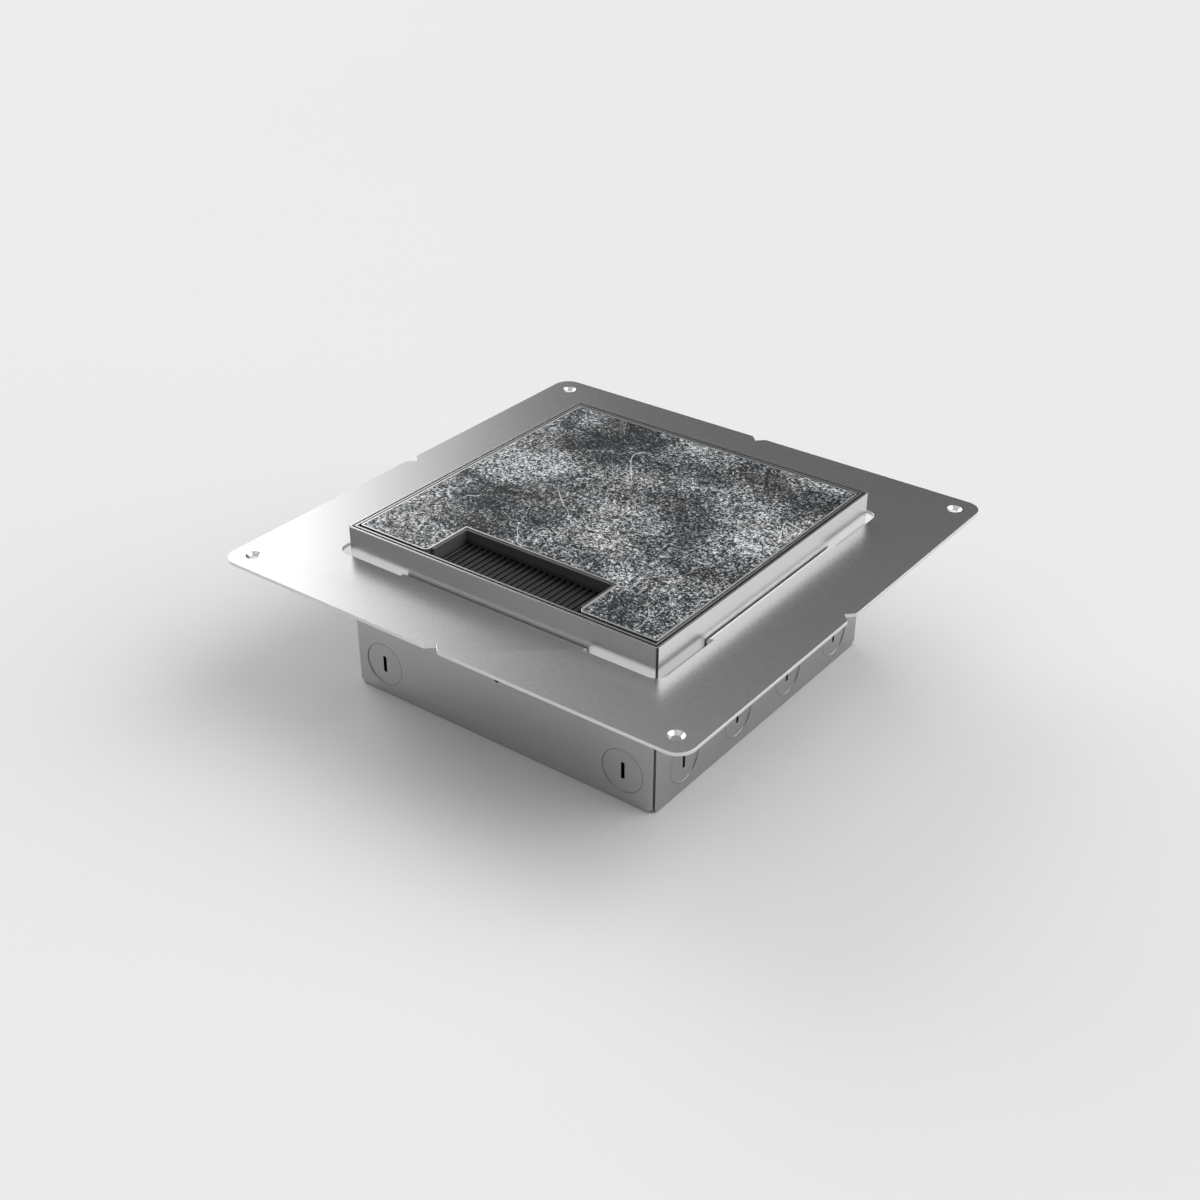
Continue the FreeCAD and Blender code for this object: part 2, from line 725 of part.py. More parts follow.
def make_cable_flap():
    """Ribbed panel on a hinge barrel, with a stop lip at its rear and a pocket for the spring."""
    panel = block(-flap_half, flap_half, flap_front, flap_rear, flap_panel_foot, flap_panel_top)
    lip = block(-flap_half, flap_half, flap_rear - flap_lip_thickness, flap_rear,
                flap_panel_foot, flap_top + flap_lip_height)
    barrel = crosswise(flap_axis_y, flap_axis_z, -flap_half, flap_half, flap_barrel_diameter)
    neck = block(-flap_half, flap_half, flap_axis_y - flap_barrel_diameter / 2,
                 flap_axis_y + flap_barrel_diameter / 2, flap_axis_z, flap_panel_foot + flap_sheet / 2)
    rib_half = flap_rib_width / 2
    shoulder = flap_rib_height - flap_rib_chamfer
    rib_section = [(-rib_half, -flap_sheet / 2, 0), (rib_half, -flap_sheet / 2, 0), (rib_half, shoulder, 0),
                   (rib_half - flap_rib_chamfer, flap_rib_height, 0),
                   (flap_rib_chamfer - rib_half, flap_rib_height, 0), (-rib_half, shoulder, 0)]
    rib_end = flap_rear - flap_lip_thickness / 2
    rib = prism(rib_section, facing_front(flap_front, 0, flap_panel_top), Vector(0, rib_end - flap_front, 0))
    count = int((2 * flap_half - flap_rib_width) / flap_rib_pitch) + 1
    ribs = [moved(rib, (index - (count - 1) / 2) * flap_rib_pitch, 0, 0) for index in range(count)]
    flap = joined([panel, lip, neck, barrel] + ribs)
    pocket_reach = (spring_mean_diameter + spring_wire) / 2 + spring_pocket_gap
    pocket = block(-pocket_half, pocket_half, flap_axis_y - pocket_reach, flap_rear + 1,
                   flap_axis_z - flap_barrel_diameter, flap_axis_z + pocket_reach)
    bore = crosswise(flap_axis_y, flap_axis_z, -flap_half - 1, flap_half + 1,
                     flap_pin_diameter + 2 * pin_clearance)
    return flap.cut([pocket, bore])


def make_flap_spring():
    """Close-wound torsion spring round the flap pin, with a leg under the flap and one behind it."""
    mean = spring_mean_diameter / 2
    wire = spring_wire / 2
    coil = crosswise(flap_axis_y, flap_axis_z, -spring_half, spring_half, 2 * (mean + wire))
    coil = coil.cut(crosswise(flap_axis_y, flap_axis_z, -spring_half - 1, spring_half + 1, 2 * (mean - wire)))

    leg_x = spring_half - wire - spring_leg_inset
    slope = math.radians(spring_leg_angle)
    start_y = flap_axis_y - mean * math.sin(slope)
    start_z = flap_axis_z - mean * math.cos(slope)
    rise = flap_panel_foot - wire - spring_leg_gap - start_z
    front_leg = Part.makeCylinder(wire, rise / math.sin(slope), Vector(-leg_x, start_y, start_z),
                                  Vector(0, -math.cos(slope), math.sin(slope)))
    rear_leg = upright(leg_x, flap_axis_y + mean, flap_axis_z - spring_rear_leg, flap_axis_z, spring_wire)
    return joined([coil, front_leg, rear_leg])


# ---------------------------------------------------------------- device carriers


def make_carrier(x):
    """Folded bridge with one long opening for the devices and a foot at each end."""
    half = carrier_half_length
    inside_bend = max(carrier_bend - carrier_sheet, 0.0)
    foot = box_sheet
    leg_in = half - carrier_sheet
    end = half + carrier_foot
    top = carrier_height
    section = [(-end, foot, 0), (-leg_in, foot, carrier_bend), (-leg_in, top - carrier_sheet, inside_bend),
               (leg_in, top - carrier_sheet, inside_bend), (leg_in, foot, carrier_bend),
               (end, foot, 0), (end, carrier_foot_top, 0),
               (half, carrier_foot_top, inside_bend), (half, top, carrier_bend),
               (-half, top, carrier_bend), (-half, carrier_foot_top, inside_bend),
               (-end, carrier_foot_top, 0)]
    bridge = prism(section, facing_side(x - carrier_width / 2), Vector(carrier_width, 0, 0))
    lips = []
    for edge in (x - carrier_width / 2, x + carrier_width / 2 - carrier_sheet):
        lips.append(block(edge, edge + carrier_sheet, carrier_bend - half, half - carrier_bend,
                          top - carrier_lip, top - carrier_sheet / 2))
    half_opening = (module_size + module_gap) / 2
    long_half = (module_count * module_size + module_gap) / 2
    cuts = [block(x - half_opening, x + half_opening, -long_half, long_half,
                  top - 2 * carrier_sheet, top + 1)]
    for stud_x, stud_y in stud_places(x):
        cuts.append(upright(stud_x, stud_y, 0, 2 * carrier_foot_top,
                            level_screw_diameter + 2 * hole_clearance))
    return joined([bridge] + lips).cut(cuts)


def stud_places(x):
    """Places of the two studs that hold one carrier."""
    y = carrier_half_length + carrier_foot / 2
    return [(x, -y), (x, y)]


def make_carrier_fixings():
    """Studs welded to the floor and the nuts on them; returns two lists of solids."""
    studs, nuts = [], []
    nut_top = carrier_foot_top + hex_nut_height
    for carrier_x in (-carrier_offset, carrier_offset):
        for x, y in stud_places(carrier_x):
            studs.append(upright(x, y, box_sheet, nut_top + thread_end, level_screw_diameter))
            nut = prism(hexagon(hex_flats), level(0), Vector(0, 0, hex_nut_height))
            nut = moved(nut, x, y, carrier_foot_top)
            nuts.append(nut.cut(upright(x, y, 0, nut_top + 1, level_screw_diameter + 2 * thread_clearance)))
    return studs, nuts


def module_places():
    """Middle of each device: left row from the front, then right row."""
    places = []
    for x in (-carrier_offset, carrier_offset):
        for index in range(module_count):
            places.append((x, (index - (module_count - 1) / 2) * module_size))
    return places


def module_blank(depth):
    """Device with a plain face that rests on the carrier, about the origin; the face is at z 0."""
    half = (module_size - module_gap) / 2
    face = prism(rectangle(-half - module_flange, half + module_flange, -half, half, module_corner_radius),
                 level(-module_face), Vector(0, 0, module_face))
    body = block(-half, half, -half, half, -module_face - depth, -module_face)
    return joined([face, body])


def make_power_socket(place):
    """Socket with a round recess, two contact holes and chambers for its sleeves."""
    socket = module_blank(module_depth)
    cuts = [upright(0, 0, -recess_depth, 1, recess_diameter)]
    for x in (-contact_spacing / 2, contact_spacing / 2):
        cuts.append(upright(x, 0, -recess_depth - contact_cover - 1, 1, contact_hole_diameter))
        cuts.append(moved(sleeve_block(sleeve_side + 2 * sleeve_gap), x, 0, 0))
    return moved(socket.cut(cuts), place[0], place[1], carrier_height + module_face)


def sleeve_block(side):
    """Square bar where a contact sleeve stands, about the middle of a device."""
    top = -recess_depth - contact_cover
    return prism(square(side / 2), level(top - sleeve_length), Vector(0, 0, sleeve_length))


def make_sleeves(place):
    """Contact sleeves of one socket."""
    sleeve = sleeve_block(sleeve_side).cut(sleeve_block(sleeve_side - 2 * sleeve_sheet))
    height = carrier_height + module_face
    half = contact_spacing / 2
    return [moved(sleeve, place[0] + x, place[1], height) for x in (-half, half)]


def make_earth_clips(place):
    """Two spring strips that stand in the recess of one socket."""
    reach = math.sqrt((recess_diameter / 2) ** 2 - (clip_width / 2) ** 2) - clip_wall_gap
    foot = -recess_depth
    head = foot + clip_length
    inner = reach - clip_sheet
    section = [(inner - clip_foot, foot, 0), (reach, foot, clip_sheet + clip_inside_bend), (reach, head, 0),
               (reach - clip_rise, head + clip_rise, 0), (inner - clip_rise, head + clip_rise, 0),
               (inner, head - clip_sheet / 3, 0), (inner, foot + clip_sheet, clip_inside_bend),
               (inner - clip_foot, foot + clip_sheet, 0)]
    clip = prism(section, facing_side(-clip_width / 2), Vector(clip_width, 0, 0))
    height = carrier_height + module_face
    return [moved(piece, place[0], place[1], height) for piece in (clip, turned(clip, 180))]


def make_data_module(place):
    """Device with two openings for data jacks."""
    module = module_blank(module_depth)
    width = jack_width + 2 * jack_gap
    length = jack_length + 2 * jack_gap
    cuts = []
    for y in (-jack_spacing / 2, jack_spacing / 2):
        cuts.append(block(-width / 2, width / 2, y - length / 2, y + length / 2,
                          -jack_face_drop - jack_height - jack_gap, 1))
    return moved(module.cut(cuts), place[0], place[1], carrier_height + module_face)


def make_data_jacks(place):
    """Two jacks with a stepped port, open to the top."""
    top = -jack_face_drop
    jacks = []
    for y in (-jack_spacing / 2, jack_spacing / 2):
        body = block(-jack_width / 2, jack_width / 2, y - jack_length / 2, y + jack_length / 2,
                     top - jack_height, top)
        port = block(-jack_port_width / 2, jack_port_width / 2, y - jack_port_length / 2,
                     y + jack_port_length / 2, top - jack_port_depth, top + 1)
        key = block(-jack_key_width / 2, jack_key_width / 2, y - jack_port_length / 2 - jack_key_length,
                    y, top - jack_port_depth, top + 1)
        jacks.append(moved(body.cut([port, key]), place[0], place[1], carrier_height + module_face))
    return jacks


def make_blank_cover(place):
    """Blank face with a shallow skirt, hollow from below."""
    cover = module_blank(blank_depth)
    half = (module_size - module_gap) / 2 - blank_wall
    hollow = block(-half, half, -half, half, -module_face - blank_depth - 1, -blank_wall)
    return moved(cover.cut(hollow), place[0], place[1], carrier_height + module_face)


# ---------------------------------------------------------------- earth connection


def make_earth_connection():
    """Welded stud with a standing nut, a washer and a clamping nut; returns stud, washer and nuts."""
    y = earth_stud_place
    stud = upright(0, y, box_sheet, box_sheet + earth_stud_height, earth_stud_diameter)
    washer_foot = box_sheet + earth_standoff
    washer_top = washer_foot + earth_washer_thickness
    bore = earth_stud_diameter + 2 * thread_clearance
    washer = upright(0, y, washer_foot, washer_top, earth_washer_diameter)
    washer = washer.cut(upright(0, y, 0, washer_top + 1, bore))
    nuts = []
    for foot, height in ((box_sheet, earth_standoff), (washer_top, earth_nut_height)):
        nut = moved(prism(hexagon(earth_nut_flats), level(0), Vector(0, 0, height)), 0, y, foot)
        nuts.append(nut.cut(upright(0, y, 0, foot + height + 1, bore)))
    return stud, washer, nuts


# ---------------------------------------------------------------- build

os.makedirs("parts", exist_ok=True)

save("box_tray", make_box_tray())
save("flange_plate", make_flange_plate())
level_screws, level_washers, level_nuts = make_level_clamps()
save("level_screws", *level_screws)
save("level_washers", *level_washers)
save("level_nuts", *level_nuts)

save("lid_frame", make_lid_frame())
save("frame_brackets", *make_brackets())
save("frame_screws", *make_frame_screws())
save("frame_seal", *make_frame_seal())

save("lid_tray", make_lid_tray())
save("lid_infill", make_lid_infill())
save("lid_stiffener", make_lid_stiffener())
save("pivot_plates", *make_pivot_plates())
save("pivot_pins", *make_pivot_pins())

save("outlet_insert", make_outlet_insert())
save("insert_screws", *make_insert_screws())
save("cable_flap", make_cable_flap())
save("flap_pin", crosswise(flap_axis_y, flap_axis_z, -liner_outside, liner_outside, flap_pin_diameter))
save("flap_spring", make_flap_spring())

save("carrier_left", make_carrier(-carrier_offset))
save("carrier_right", make_carrier(carrier_offset))
carrier_studs, carrier_nuts = make_carrier_fixings()
save("carrier_studs", *carrier_studs)
save("carrier_nuts", *carrier_nuts)

places = module_places()
power_places = places[:4]
sleeves, clips = [], []
for number, place in enumerate(power_places, start=1):
    save("power_socket_%d" % number, make_power_socket(place))
    sleeves += make_sleeves(place)
    clips += make_earth_clips(place)
save("contact_sleeves", *sleeves)
save("earth_clips", *clips)
save("data_module", make_data_module(places[4]))
save("data_jacks", *make_data_jacks(places[4]))
save("blank_cover", make_blank_cover(places[5]))

earth_stud, earth_washer, earth_nuts = make_earth_connection()
save("earth_stud", earth_stud)
save("earth_washer", earth_washer)
save("earth_nuts", *earth_nuts)
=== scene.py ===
# %% [markdown]
# # A floor socket box, dressed in Blender
#
# The solids of this object come from a CAD program. They already have the right sizes,
# and they are loaded here as a fixed frame. This lesson adds what CAD leaves out: soft
# edges, threads and slots on the fasteners, and finishes made of shader nodes. Every
# length is in metres, and the origin is the centre of the box's underside.

# %% Load the frame
import math

import bmesh
import bpy
from mathutils import Matrix, Vector
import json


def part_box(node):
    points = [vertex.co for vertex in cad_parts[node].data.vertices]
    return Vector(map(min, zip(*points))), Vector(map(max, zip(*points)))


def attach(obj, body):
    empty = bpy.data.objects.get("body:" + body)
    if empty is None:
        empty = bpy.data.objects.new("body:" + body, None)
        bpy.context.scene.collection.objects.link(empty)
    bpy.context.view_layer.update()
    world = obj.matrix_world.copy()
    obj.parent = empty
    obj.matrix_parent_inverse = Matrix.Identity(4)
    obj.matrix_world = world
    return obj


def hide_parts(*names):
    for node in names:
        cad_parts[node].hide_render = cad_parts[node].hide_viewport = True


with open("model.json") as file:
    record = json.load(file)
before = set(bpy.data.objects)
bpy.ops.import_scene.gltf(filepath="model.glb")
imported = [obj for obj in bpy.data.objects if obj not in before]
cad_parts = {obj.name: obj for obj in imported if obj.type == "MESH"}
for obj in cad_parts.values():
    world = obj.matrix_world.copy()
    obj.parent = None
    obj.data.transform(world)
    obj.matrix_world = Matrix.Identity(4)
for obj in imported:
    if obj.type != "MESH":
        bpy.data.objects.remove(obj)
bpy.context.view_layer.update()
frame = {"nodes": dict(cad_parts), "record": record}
mm = 0.001

# %% [markdown]
# ## The camera
#
# A product picture is taken from a little above, with a normal lens. The camera stands
# in front of the cable outlet and to its right. Its place is given as two angles and a
# point, because an angle is easier to change than a matrix. The matrix is then built
# from three directions: right, up and back.

# %% Camera
camera_azimuth = math.radians(36.897)
camera_elevation = math.radians(30.827)
camera_roll = math.radians(0.115)
camera_place = Vector((0.4822, -0.6541, 0.5265))

back = Vector((math.sin(camera_azimuth) * math.cos(camera_elevation),
               -math.cos(camera_azimuth) * math.cos(camera_elevation),
               math.sin(camera_elevation)))
level_right = Vector((math.cos(camera_azimuth), math.sin(camera_azimuth), 0))
level_up = back.cross(level_right)
right = level_right * math.cos(camera_roll) + level_up * math.sin(camera_roll)
up = level_up * math.cos(camera_roll) - level_right * math.sin(camera_roll)

lens = bpy.data.cameras.new("camera")
lens.lens = 50.44
lens.sensor_width = 36
lens.clip_start = 0.01
camera = bpy.data.objects.new("camera", lens)
turn = Matrix((right, up, back)).transposed()
camera.matrix_world = Matrix.Translation(camera_place) @ turn.to_4x4()
bpy.context.scene.collection.objects.link(camera)
bpy.context.scene.camera = camera
print("camera at", [round(v, 3) for v in camera_place])

# %% [markdown]
# ## A helper for shader nodes
#
# Every finish below is a small tree of nodes. Writing each node with its settings and
# inputs on one line keeps a tree readable, so one helper makes a node, and sets or links
# what it is given. An input is named by its label, with _ for a space, or by i0, i1 and
# so on where labels repeat.

# %% Node helper
def add(tree, kind, settings=None, **inputs):
    """Adds one node. Settings are its own fields, and inputs are values or sockets."""
    made = tree.nodes.new("ShaderNode" + kind)
    for field, value in (settings or {}).items():
        setattr(made, field, value)
    for label, value in inputs.items():
        numbered = label[0] == "i" and label[1:].isdigit()
        socket = made.inputs[int(label[1:]) if numbered else label.replace("_", " ")]
        if isinstance(value, bpy.types.NodeSocket):
            tree.links.new(value, socket)
        else:
            socket.default_value = value
    return made


print("node helper ready")

# %% [markdown]
# ## Four small steps that every finish uses
#
# A sum, a change of span, a mix of two colours and a noise come back in every tree.
# Each gets a short name here, so that a finish reads as a recipe.

# %% Steps of a finish
def number(tree, operation, *values):
    """Result of a Math node."""
    inputs = {"i%d" % index: value for index, value in enumerate(values)}
    return add(tree, "Math", {"operation": operation}, **inputs).outputs[0]


def remap(tree, value, low, high, to_low, to_high, smooth=False):
    """Value moved from one span to another, clamped at both ends."""
    kind = "SMOOTHSTEP" if smooth else "LINEAR"
    made = add(tree, "MapRange", {"interpolation_type": kind}, Value=value,
               From_Min=low, From_Max=high, To_Min=to_low, To_Max=to_high)
    return made.outputs["Result"]


def mixed(tree, factor, first, second, blend="MIX"):
    """Colour between two colours."""
    made = add(tree, "Mix", {"data_type": "RGBA", "blend_type": blend},
               i0=factor, i6=first, i7=second)
    return made.outputs[2]


def noise(tree, where, scale, detail, **more):
    """Value of a noise, with grains about 1 / scale metres wide."""
    return add(tree, "TexNoise", Vector=where, Scale=scale, Detail=detail, **more).outputs["Fac"]


print("steps ready")

# %% [markdown]
# ## Light from soft boxes far away
#
# Sheet steel has little colour of its own: it shows what stands round it. A studio puts
# large white panels at its sides and leaves the rest dim, and that gives steel its slow
# fades. Lamps near the object would light the floor unevenly, so the panels are painted
# into the world, by direction. Each is a soft spot that fades out over an angle. Below
# them lies a faint glow near the floor, and above them a dim ceiling.

# %% World
panels = [
    # azimuth from +Y towards +X, elevation, inner and outer angle, strength
    (-73.6, 19.6, 10, 32.9, 3.95),
    (53, 34, 16, 48, 2.55),
    (-160, 46, 10, 40, 0.42),
]
floor_glow, side_level, ceiling_level = 0.54, 0.104, 0.6

world = bpy.data.worlds.new("studio")
bpy.context.scene.world = world
world.use_nodes = True
sky = world.node_tree
direction = add(sky, "TexCoord").outputs["Generated"]
height = add(sky, "SeparateXYZ", Vector=direction).outputs["Z"]
ceiling = remap(sky, height, 0.44, 0.92, 0.0, ceiling_level, True)
light = number(sky, "ADD", remap(sky, height, 0.02, 0.22, floor_glow, side_level, True), ceiling)


def soft_spot(azimuth, elevation, inner, outer, strength):
    """Light of one panel: full within its inner angle and none beyond its outer one."""
    a, e = math.radians(azimuth), math.radians(elevation)
    aim = (math.sin(a) * math.cos(e), math.cos(a) * math.cos(e), math.sin(e))
    along = add(sky, "VectorMath", {"operation": "DOT_PRODUCT"}, i0=direction, i1=aim)
    rim, core = math.cos(math.radians(outer)), math.cos(math.radians(inner))
    return remap(sky, along.outputs["Value"], rim, core, 0.0, strength, True)


for panel in panels:
    light = number(sky, "ADD", light, soft_spot(*panel))
print("world with", len(panels), "panels")

# %% [markdown]
# ## The backdrop
#
# Where the camera looks past the floor it sees one even pale tone, like a sheet of paper
# hung behind the object. Only camera rays see that tone, so it puts no light on the steel.

# %% Backdrop
backdrop_level = 0.84
seen = add(sky, "LightPath").outputs["Is Camera Ray"]
unseen = number(sky, "SUBTRACT", 1.0, seen)
light = number(sky, "ADD", number(sky, "MULTIPLY", light, unseen),
               number(sky, "MULTIPLY", seen, backdrop_level))
background = sky.nodes["Background"]
background.inputs["Color"].default_value = (1.0, 0.995, 0.998, 1)
sky.links.new(light, background.inputs["Strength"])
bpy.context.scene.view_settings.view_transform = "Standard"
print("backdrop at", backdrop_level)

# %% [markdown]
# ## The start of a material
#
# Every material here has one Principled shader. Its patterns are laid out in the object's
# own metres, so that a grain has the same size on every piece and moves along with it.

# %% New material
def new_material(name, roughness, metallic=0.0):
    """Material with one Principled shader: it, its tree, its shader, Object coordinates."""
    made = bpy.data.materials.new(name)
    made.use_nodes = True
    tree = made.node_tree
    shader = tree.nodes["Principled BSDF"]
    shader.inputs["Roughness"].default_value = roughness
    shader.inputs["Metallic"].default_value = metallic
    where = add(tree, "TexCoord").outputs["Object"]
    return made, tree, shader, where


print("materials can be made")

# %% [markdown]
# ## The floor
#
# The floor is one wide pale sheet, so that it fills the picture from every side. Its
# colour is matt, with very faint clouds, and it takes the object's soft shadow.

# %% Floor
floor_material, tree, shader, where = new_material("floor_paper", 0.9)
paper = mixed(tree, noise(tree, where, 1.5, 2.0), (0.69, 0.686, 0.69, 1), (0.71, 0.706, 0.71, 1))
tree.links.new(paper, shader.inputs["Base Color"])
shader.inputs["Specular IOR Level"].default_value = 0.1

floor_half = 12.0
bm = bmesh.new()
bmesh.ops.create_grid(bm, x_segments=1, y_segments=1, size=floor_half)
floor_mesh = bpy.data.meshes.new("studio_floor")
bm.to_mesh(floor_mesh)
bm.free()
floor = bpy.data.objects.new("studio_floor", floor_mesh)
floor_mesh.materials.append(floor_material)
bpy.context.scene.collection.objects.link(floor)
print("floor", 2 * floor_half, "m wide")

# %% [markdown]
# ## Satin steel
#
# The plate and the box are folded from stainless sheet. Such sheet has a fine rolled
# grain: too small to see as lines, but it blurs what the metal reflects. So the colour
# is nearly even, the roughness wanders with a fine noise that is drawn out along the
# rolling direction, and a bump of a few thousandths of a millimetre breaks up the shine.
# Painted shade can darken the walls that face along X, by the factor across.

# %% Metal
def metal(name, colour, roughness, spread=0.015, grain=2600, stretch=(0.08, 1, 1),
          relief=0.02, mottle=0.025, across=1.0):
    """Metal with a drawn-out grain. Spread is how far its roughness wanders."""
    made, tree, shader, where = new_material(name, roughness, 1.0)
    drawn = add(tree, "Mapping", Vector=where, Scale=stretch).outputs[0]
    fine = noise(tree, drawn, grain, 3.0, Roughness=0.6)
    broad = noise(tree, where, 14.0, 3.0)
    dark = tuple(channel * (1 - mottle) for channel in colour) + (1,)
    pale = tuple(min(1.0, channel * (1 + mottle)) for channel in colour) + (1,)
    tone = mixed(tree, remap(tree, broad, 0.3, 0.7, 0.0, 1.0), dark, pale)
    tone = mixed(tree, 0.25, tone, mixed(tree, fine, dark, pale))
    # Painted shade: faces that look along X get their colour multiplied by across.
    if across != 1.0:
        normal = add(tree, "TexCoord").outputs["Normal"]
        x_side_shade = number(tree, "ABSOLUTE", add(tree, "SeparateXYZ", Vector=normal).outputs["X"])
        x_side_shade = remap(tree, x_side_shade, 0.5, 0.9, 0.0, 1.0)
        tone = mixed(tree, x_side_shade, tone, (across, across, across, 1), "MULTIPLY")
    tree.links.new(tone, shader.inputs["Base Color"])
    rough = remap(tree, fine, 0.25, 0.75, roughness - spread, roughness + spread)
    tree.links.new(rough, shader.inputs["Roughness"])
    bump = add(tree, "Bump", Strength=relief, Distance=0.02 * mm, Height=fine)
    tree.links.new(bump.outputs[0], shader.inputs["Normal"])
    return made


plate_steel = metal("plate_steel", (0.58, 0.58, 0.585), 0.28)
# The box's walls that face along X get painted shade, as they mirror the shaded floor.
box_steel = metal("box_steel", (0.53, 0.53, 0.535), 0.31, across=0.8)
frame_steel = metal("frame_steel", (0.62, 0.62, 0.62), 0.26)
print("sheet steels made")

# %% [markdown]
# ## Edges of the sheet
#
# The same steel looks different where it was worked. The plate's cut edge is matt and
# pale, because the cut leaves it frosted. The lid's rim gets a paler copy of the steel, a
# painted highlight. A dark steel is painted shade, for the slits and the knock-out steps.
# None of these has a rolled grain, so their noise is hardly drawn out.

# %% Edge finishes
even = (1, 1, 1)
cut_edge = metal("cut_edge", (0.72, 0.72, 0.725), 0.5, spread=0.05, grain=900,
                 stretch=(1, 1, 0.3), relief=0.2, mottle=0.05)
# Painted highlight: a paler copy of the steel for the lid's rim.
rim_highlight_steel = metal("rim_highlight_steel", (0.74, 0.74, 0.745), 0.3, spread=0.04, grain=1200,
                  stretch=even, relief=0.05, mottle=0.04)
# Painted shade: a dark steel for the slits and the knock-out steps, where shade falls.
shade_steel = metal("shade_steel", (0.16, 0.16, 0.165), 0.45, spread=0.05, grain=900,
                   stretch=even, relief=0.2, mottle=0.1)
print("edge finishes made")

# %% [markdown]
# ## Metals of the inner parts
#
# Fasteners are zinc plated, brackets are galvanised, which leaves broad flowers of zinc,
# springs are bare hard-drawn wire, and contacts are brass. The grain and the mottle tell
# them apart as much as the colour does.

# %% Inner metals
zinc_plate = metal("zinc_plate", (0.66, 0.68, 0.70), 0.24, spread=0.06, grain=500,
                   stretch=even, relief=0.15)
galvanised = metal("galvanised", (0.52, 0.54, 0.56), 0.38, spread=0.10, grain=90,
                   stretch=even, relief=0.2, mottle=0.16)
spring_wire = metal("spring_wire", (0.42, 0.42, 0.44), 0.22, spread=0.05, grain=1500,
                    stretch=even, relief=0.1)
contact_brass = metal("contact_brass", (0.80, 0.60, 0.28), 0.25, spread=0.06, grain=600,
                      stretch=even, relief=0.12)
print("inner metals made")

# %% [markdown]
# ## A band of painted light
#
# Just below the plate the box's walls look pale, as they mirror the bright floor through
# the gap round the plate. That light is painted. Two soft steps on the height, one rising
# and one falling, multiply to a band, and the band mixes the pale tone over the metal's own.

# %% Painted light band
def paint_light_band(finish, low, high, fade, colour):
    """Paints light on a metal: paler in a band between two heights."""
    tree = finish.node_tree
    base = tree.nodes["Principled BSDF"].inputs["Base Color"]
    tone = base.links[0].from_socket
    place = add(tree, "TexCoord").outputs["Object"]
    height = add(tree, "SeparateXYZ", Vector=place).outputs["Z"]
    above = remap(tree, height, high, high + fade, 1.0, 0.0, True)
    below = remap(tree, height, low - fade, low, 0.0, 1.0, True)
    light_band = number(tree, "MULTIPLY", above, below)
    tree.links.new(mixed(tree, light_band, tone, colour), base)


# Painted light on the box's walls, just below the plate.
paint_light_band(box_steel, low=82 * mm, high=86 * mm, fade=2.5 * mm, colour=(0.80, 0.80, 0.805, 1))
print("box steel nodes", len(box_steel.node_tree.nodes))

# %% [markdown]
# ## Dark stone with pale fibres
#
# The lid is filled with a tile of dark stone. Short white fibres, a millimetre or two long,
# lie in all directions over a blue-grey ground and make a dense mesh, thicker in some
# clouds than in others. A fibre can be drawn as the ridge where a noise passes through its
# middle value, on coordinates that are drawn out in one direction. Four layers turned to
# different angles are added up, so that crossings come out brightest, as in real stone.

# %% Stone fibres
fibre_layers = [
    # angle in degrees, scale, width of a stroke, share of the brightness
    (8, 470, 0.11, 0.34),
    (52, 640, 0.12, 0.30),
    (97, 540, 0.11, 0.34),
    (141, 720, 0.13, 0.28),
]


def fibres(tree, where, angle, scale, width, stretch=0.45):
    """Pale strokes that run roughly along one direction; 1 on a stroke and 0 beside it."""
    turned = add(tree, "Mapping", Vector=where, Rotation=(0, 0, math.radians(angle)),
                 Location=(angle * 0.013, angle * 0.007, 0)).outputs[0]
    drawn = add(tree, "Mapping", Vector=turned, Scale=(stretch, 1, 1)).outputs[0]
    level = noise(tree, drawn, scale, 1.0, Roughness=0.5, Distortion=0.5)
    off = number(tree, "ABSOLUTE", number(tree, "SUBTRACT", level, 0.5))
    return remap(tree, off, 0.0, width, 1.0, 0.0)


def mesh_of_fibres(tree, where):
    """Sum of the layers of strokes, from 0 to about 1."""
    total = 0.0
    for angle, scale, width, share in fibre_layers:
        layer = number(tree, "MULTIPLY", fibres(tree, where, angle, scale, width), share)
        total = number(tree, "ADD", total, layer)
    return total


print(len(fibre_layers), "layers of fibres")

# %% [markdown]
# ## The colour of the stone
#
# The ground goes from nearly black to mid grey with a fine grit. Broad clouds set how
# bright the fibres are on it, and here and there the grey turns to a faint brown stain.
# A few long white threads and a few black cracks lie over it all.

# %% Colour of the stone
def stone_ground(tree, where, cloud, grit):
    """Ground and fibres, brighter in the clouds and browner in the stains."""
    thick = remap(tree, cloud, 0.34, 0.66, 0.46, 1.14)
    level = number(tree, "MULTIPLY", mesh_of_fibres(tree, where), thick)
    level = number(tree, "ADD", level, remap(tree, grit, 0.35, 0.70, -0.20, 0.28))
    level = number(tree, "POWER", remap(tree, level, 0.25, 0.92, 0.0, 1.0), 1.55)
    stain = remap(tree, noise(tree, where, 34.0, 3.0), 0.52, 0.68, 0.0, 0.8)
    dark = mixed(tree, stain, (0.006, 0.010, 0.012, 1), (0.012, 0.010, 0.009, 1))
    pale = mixed(tree, stain, (0.68, 0.71, 0.72, 1), (0.70, 0.685, 0.675, 1))
    return mixed(tree, level, dark, pale)


def with_threads(tree, where, colour):
    """Long white threads, only where a broad noise allows them."""
    rare = remap(tree, noise(tree, where, 21.0, 2.0), 0.52, 0.62, 0.0, 0.7)
    thread = number(tree, "MULTIPLY", fibres(tree, where, 64, 42, 0.006, 0.3), rare)
    return mixed(tree, thread, colour, (0.88, 0.89, 0.89, 1))


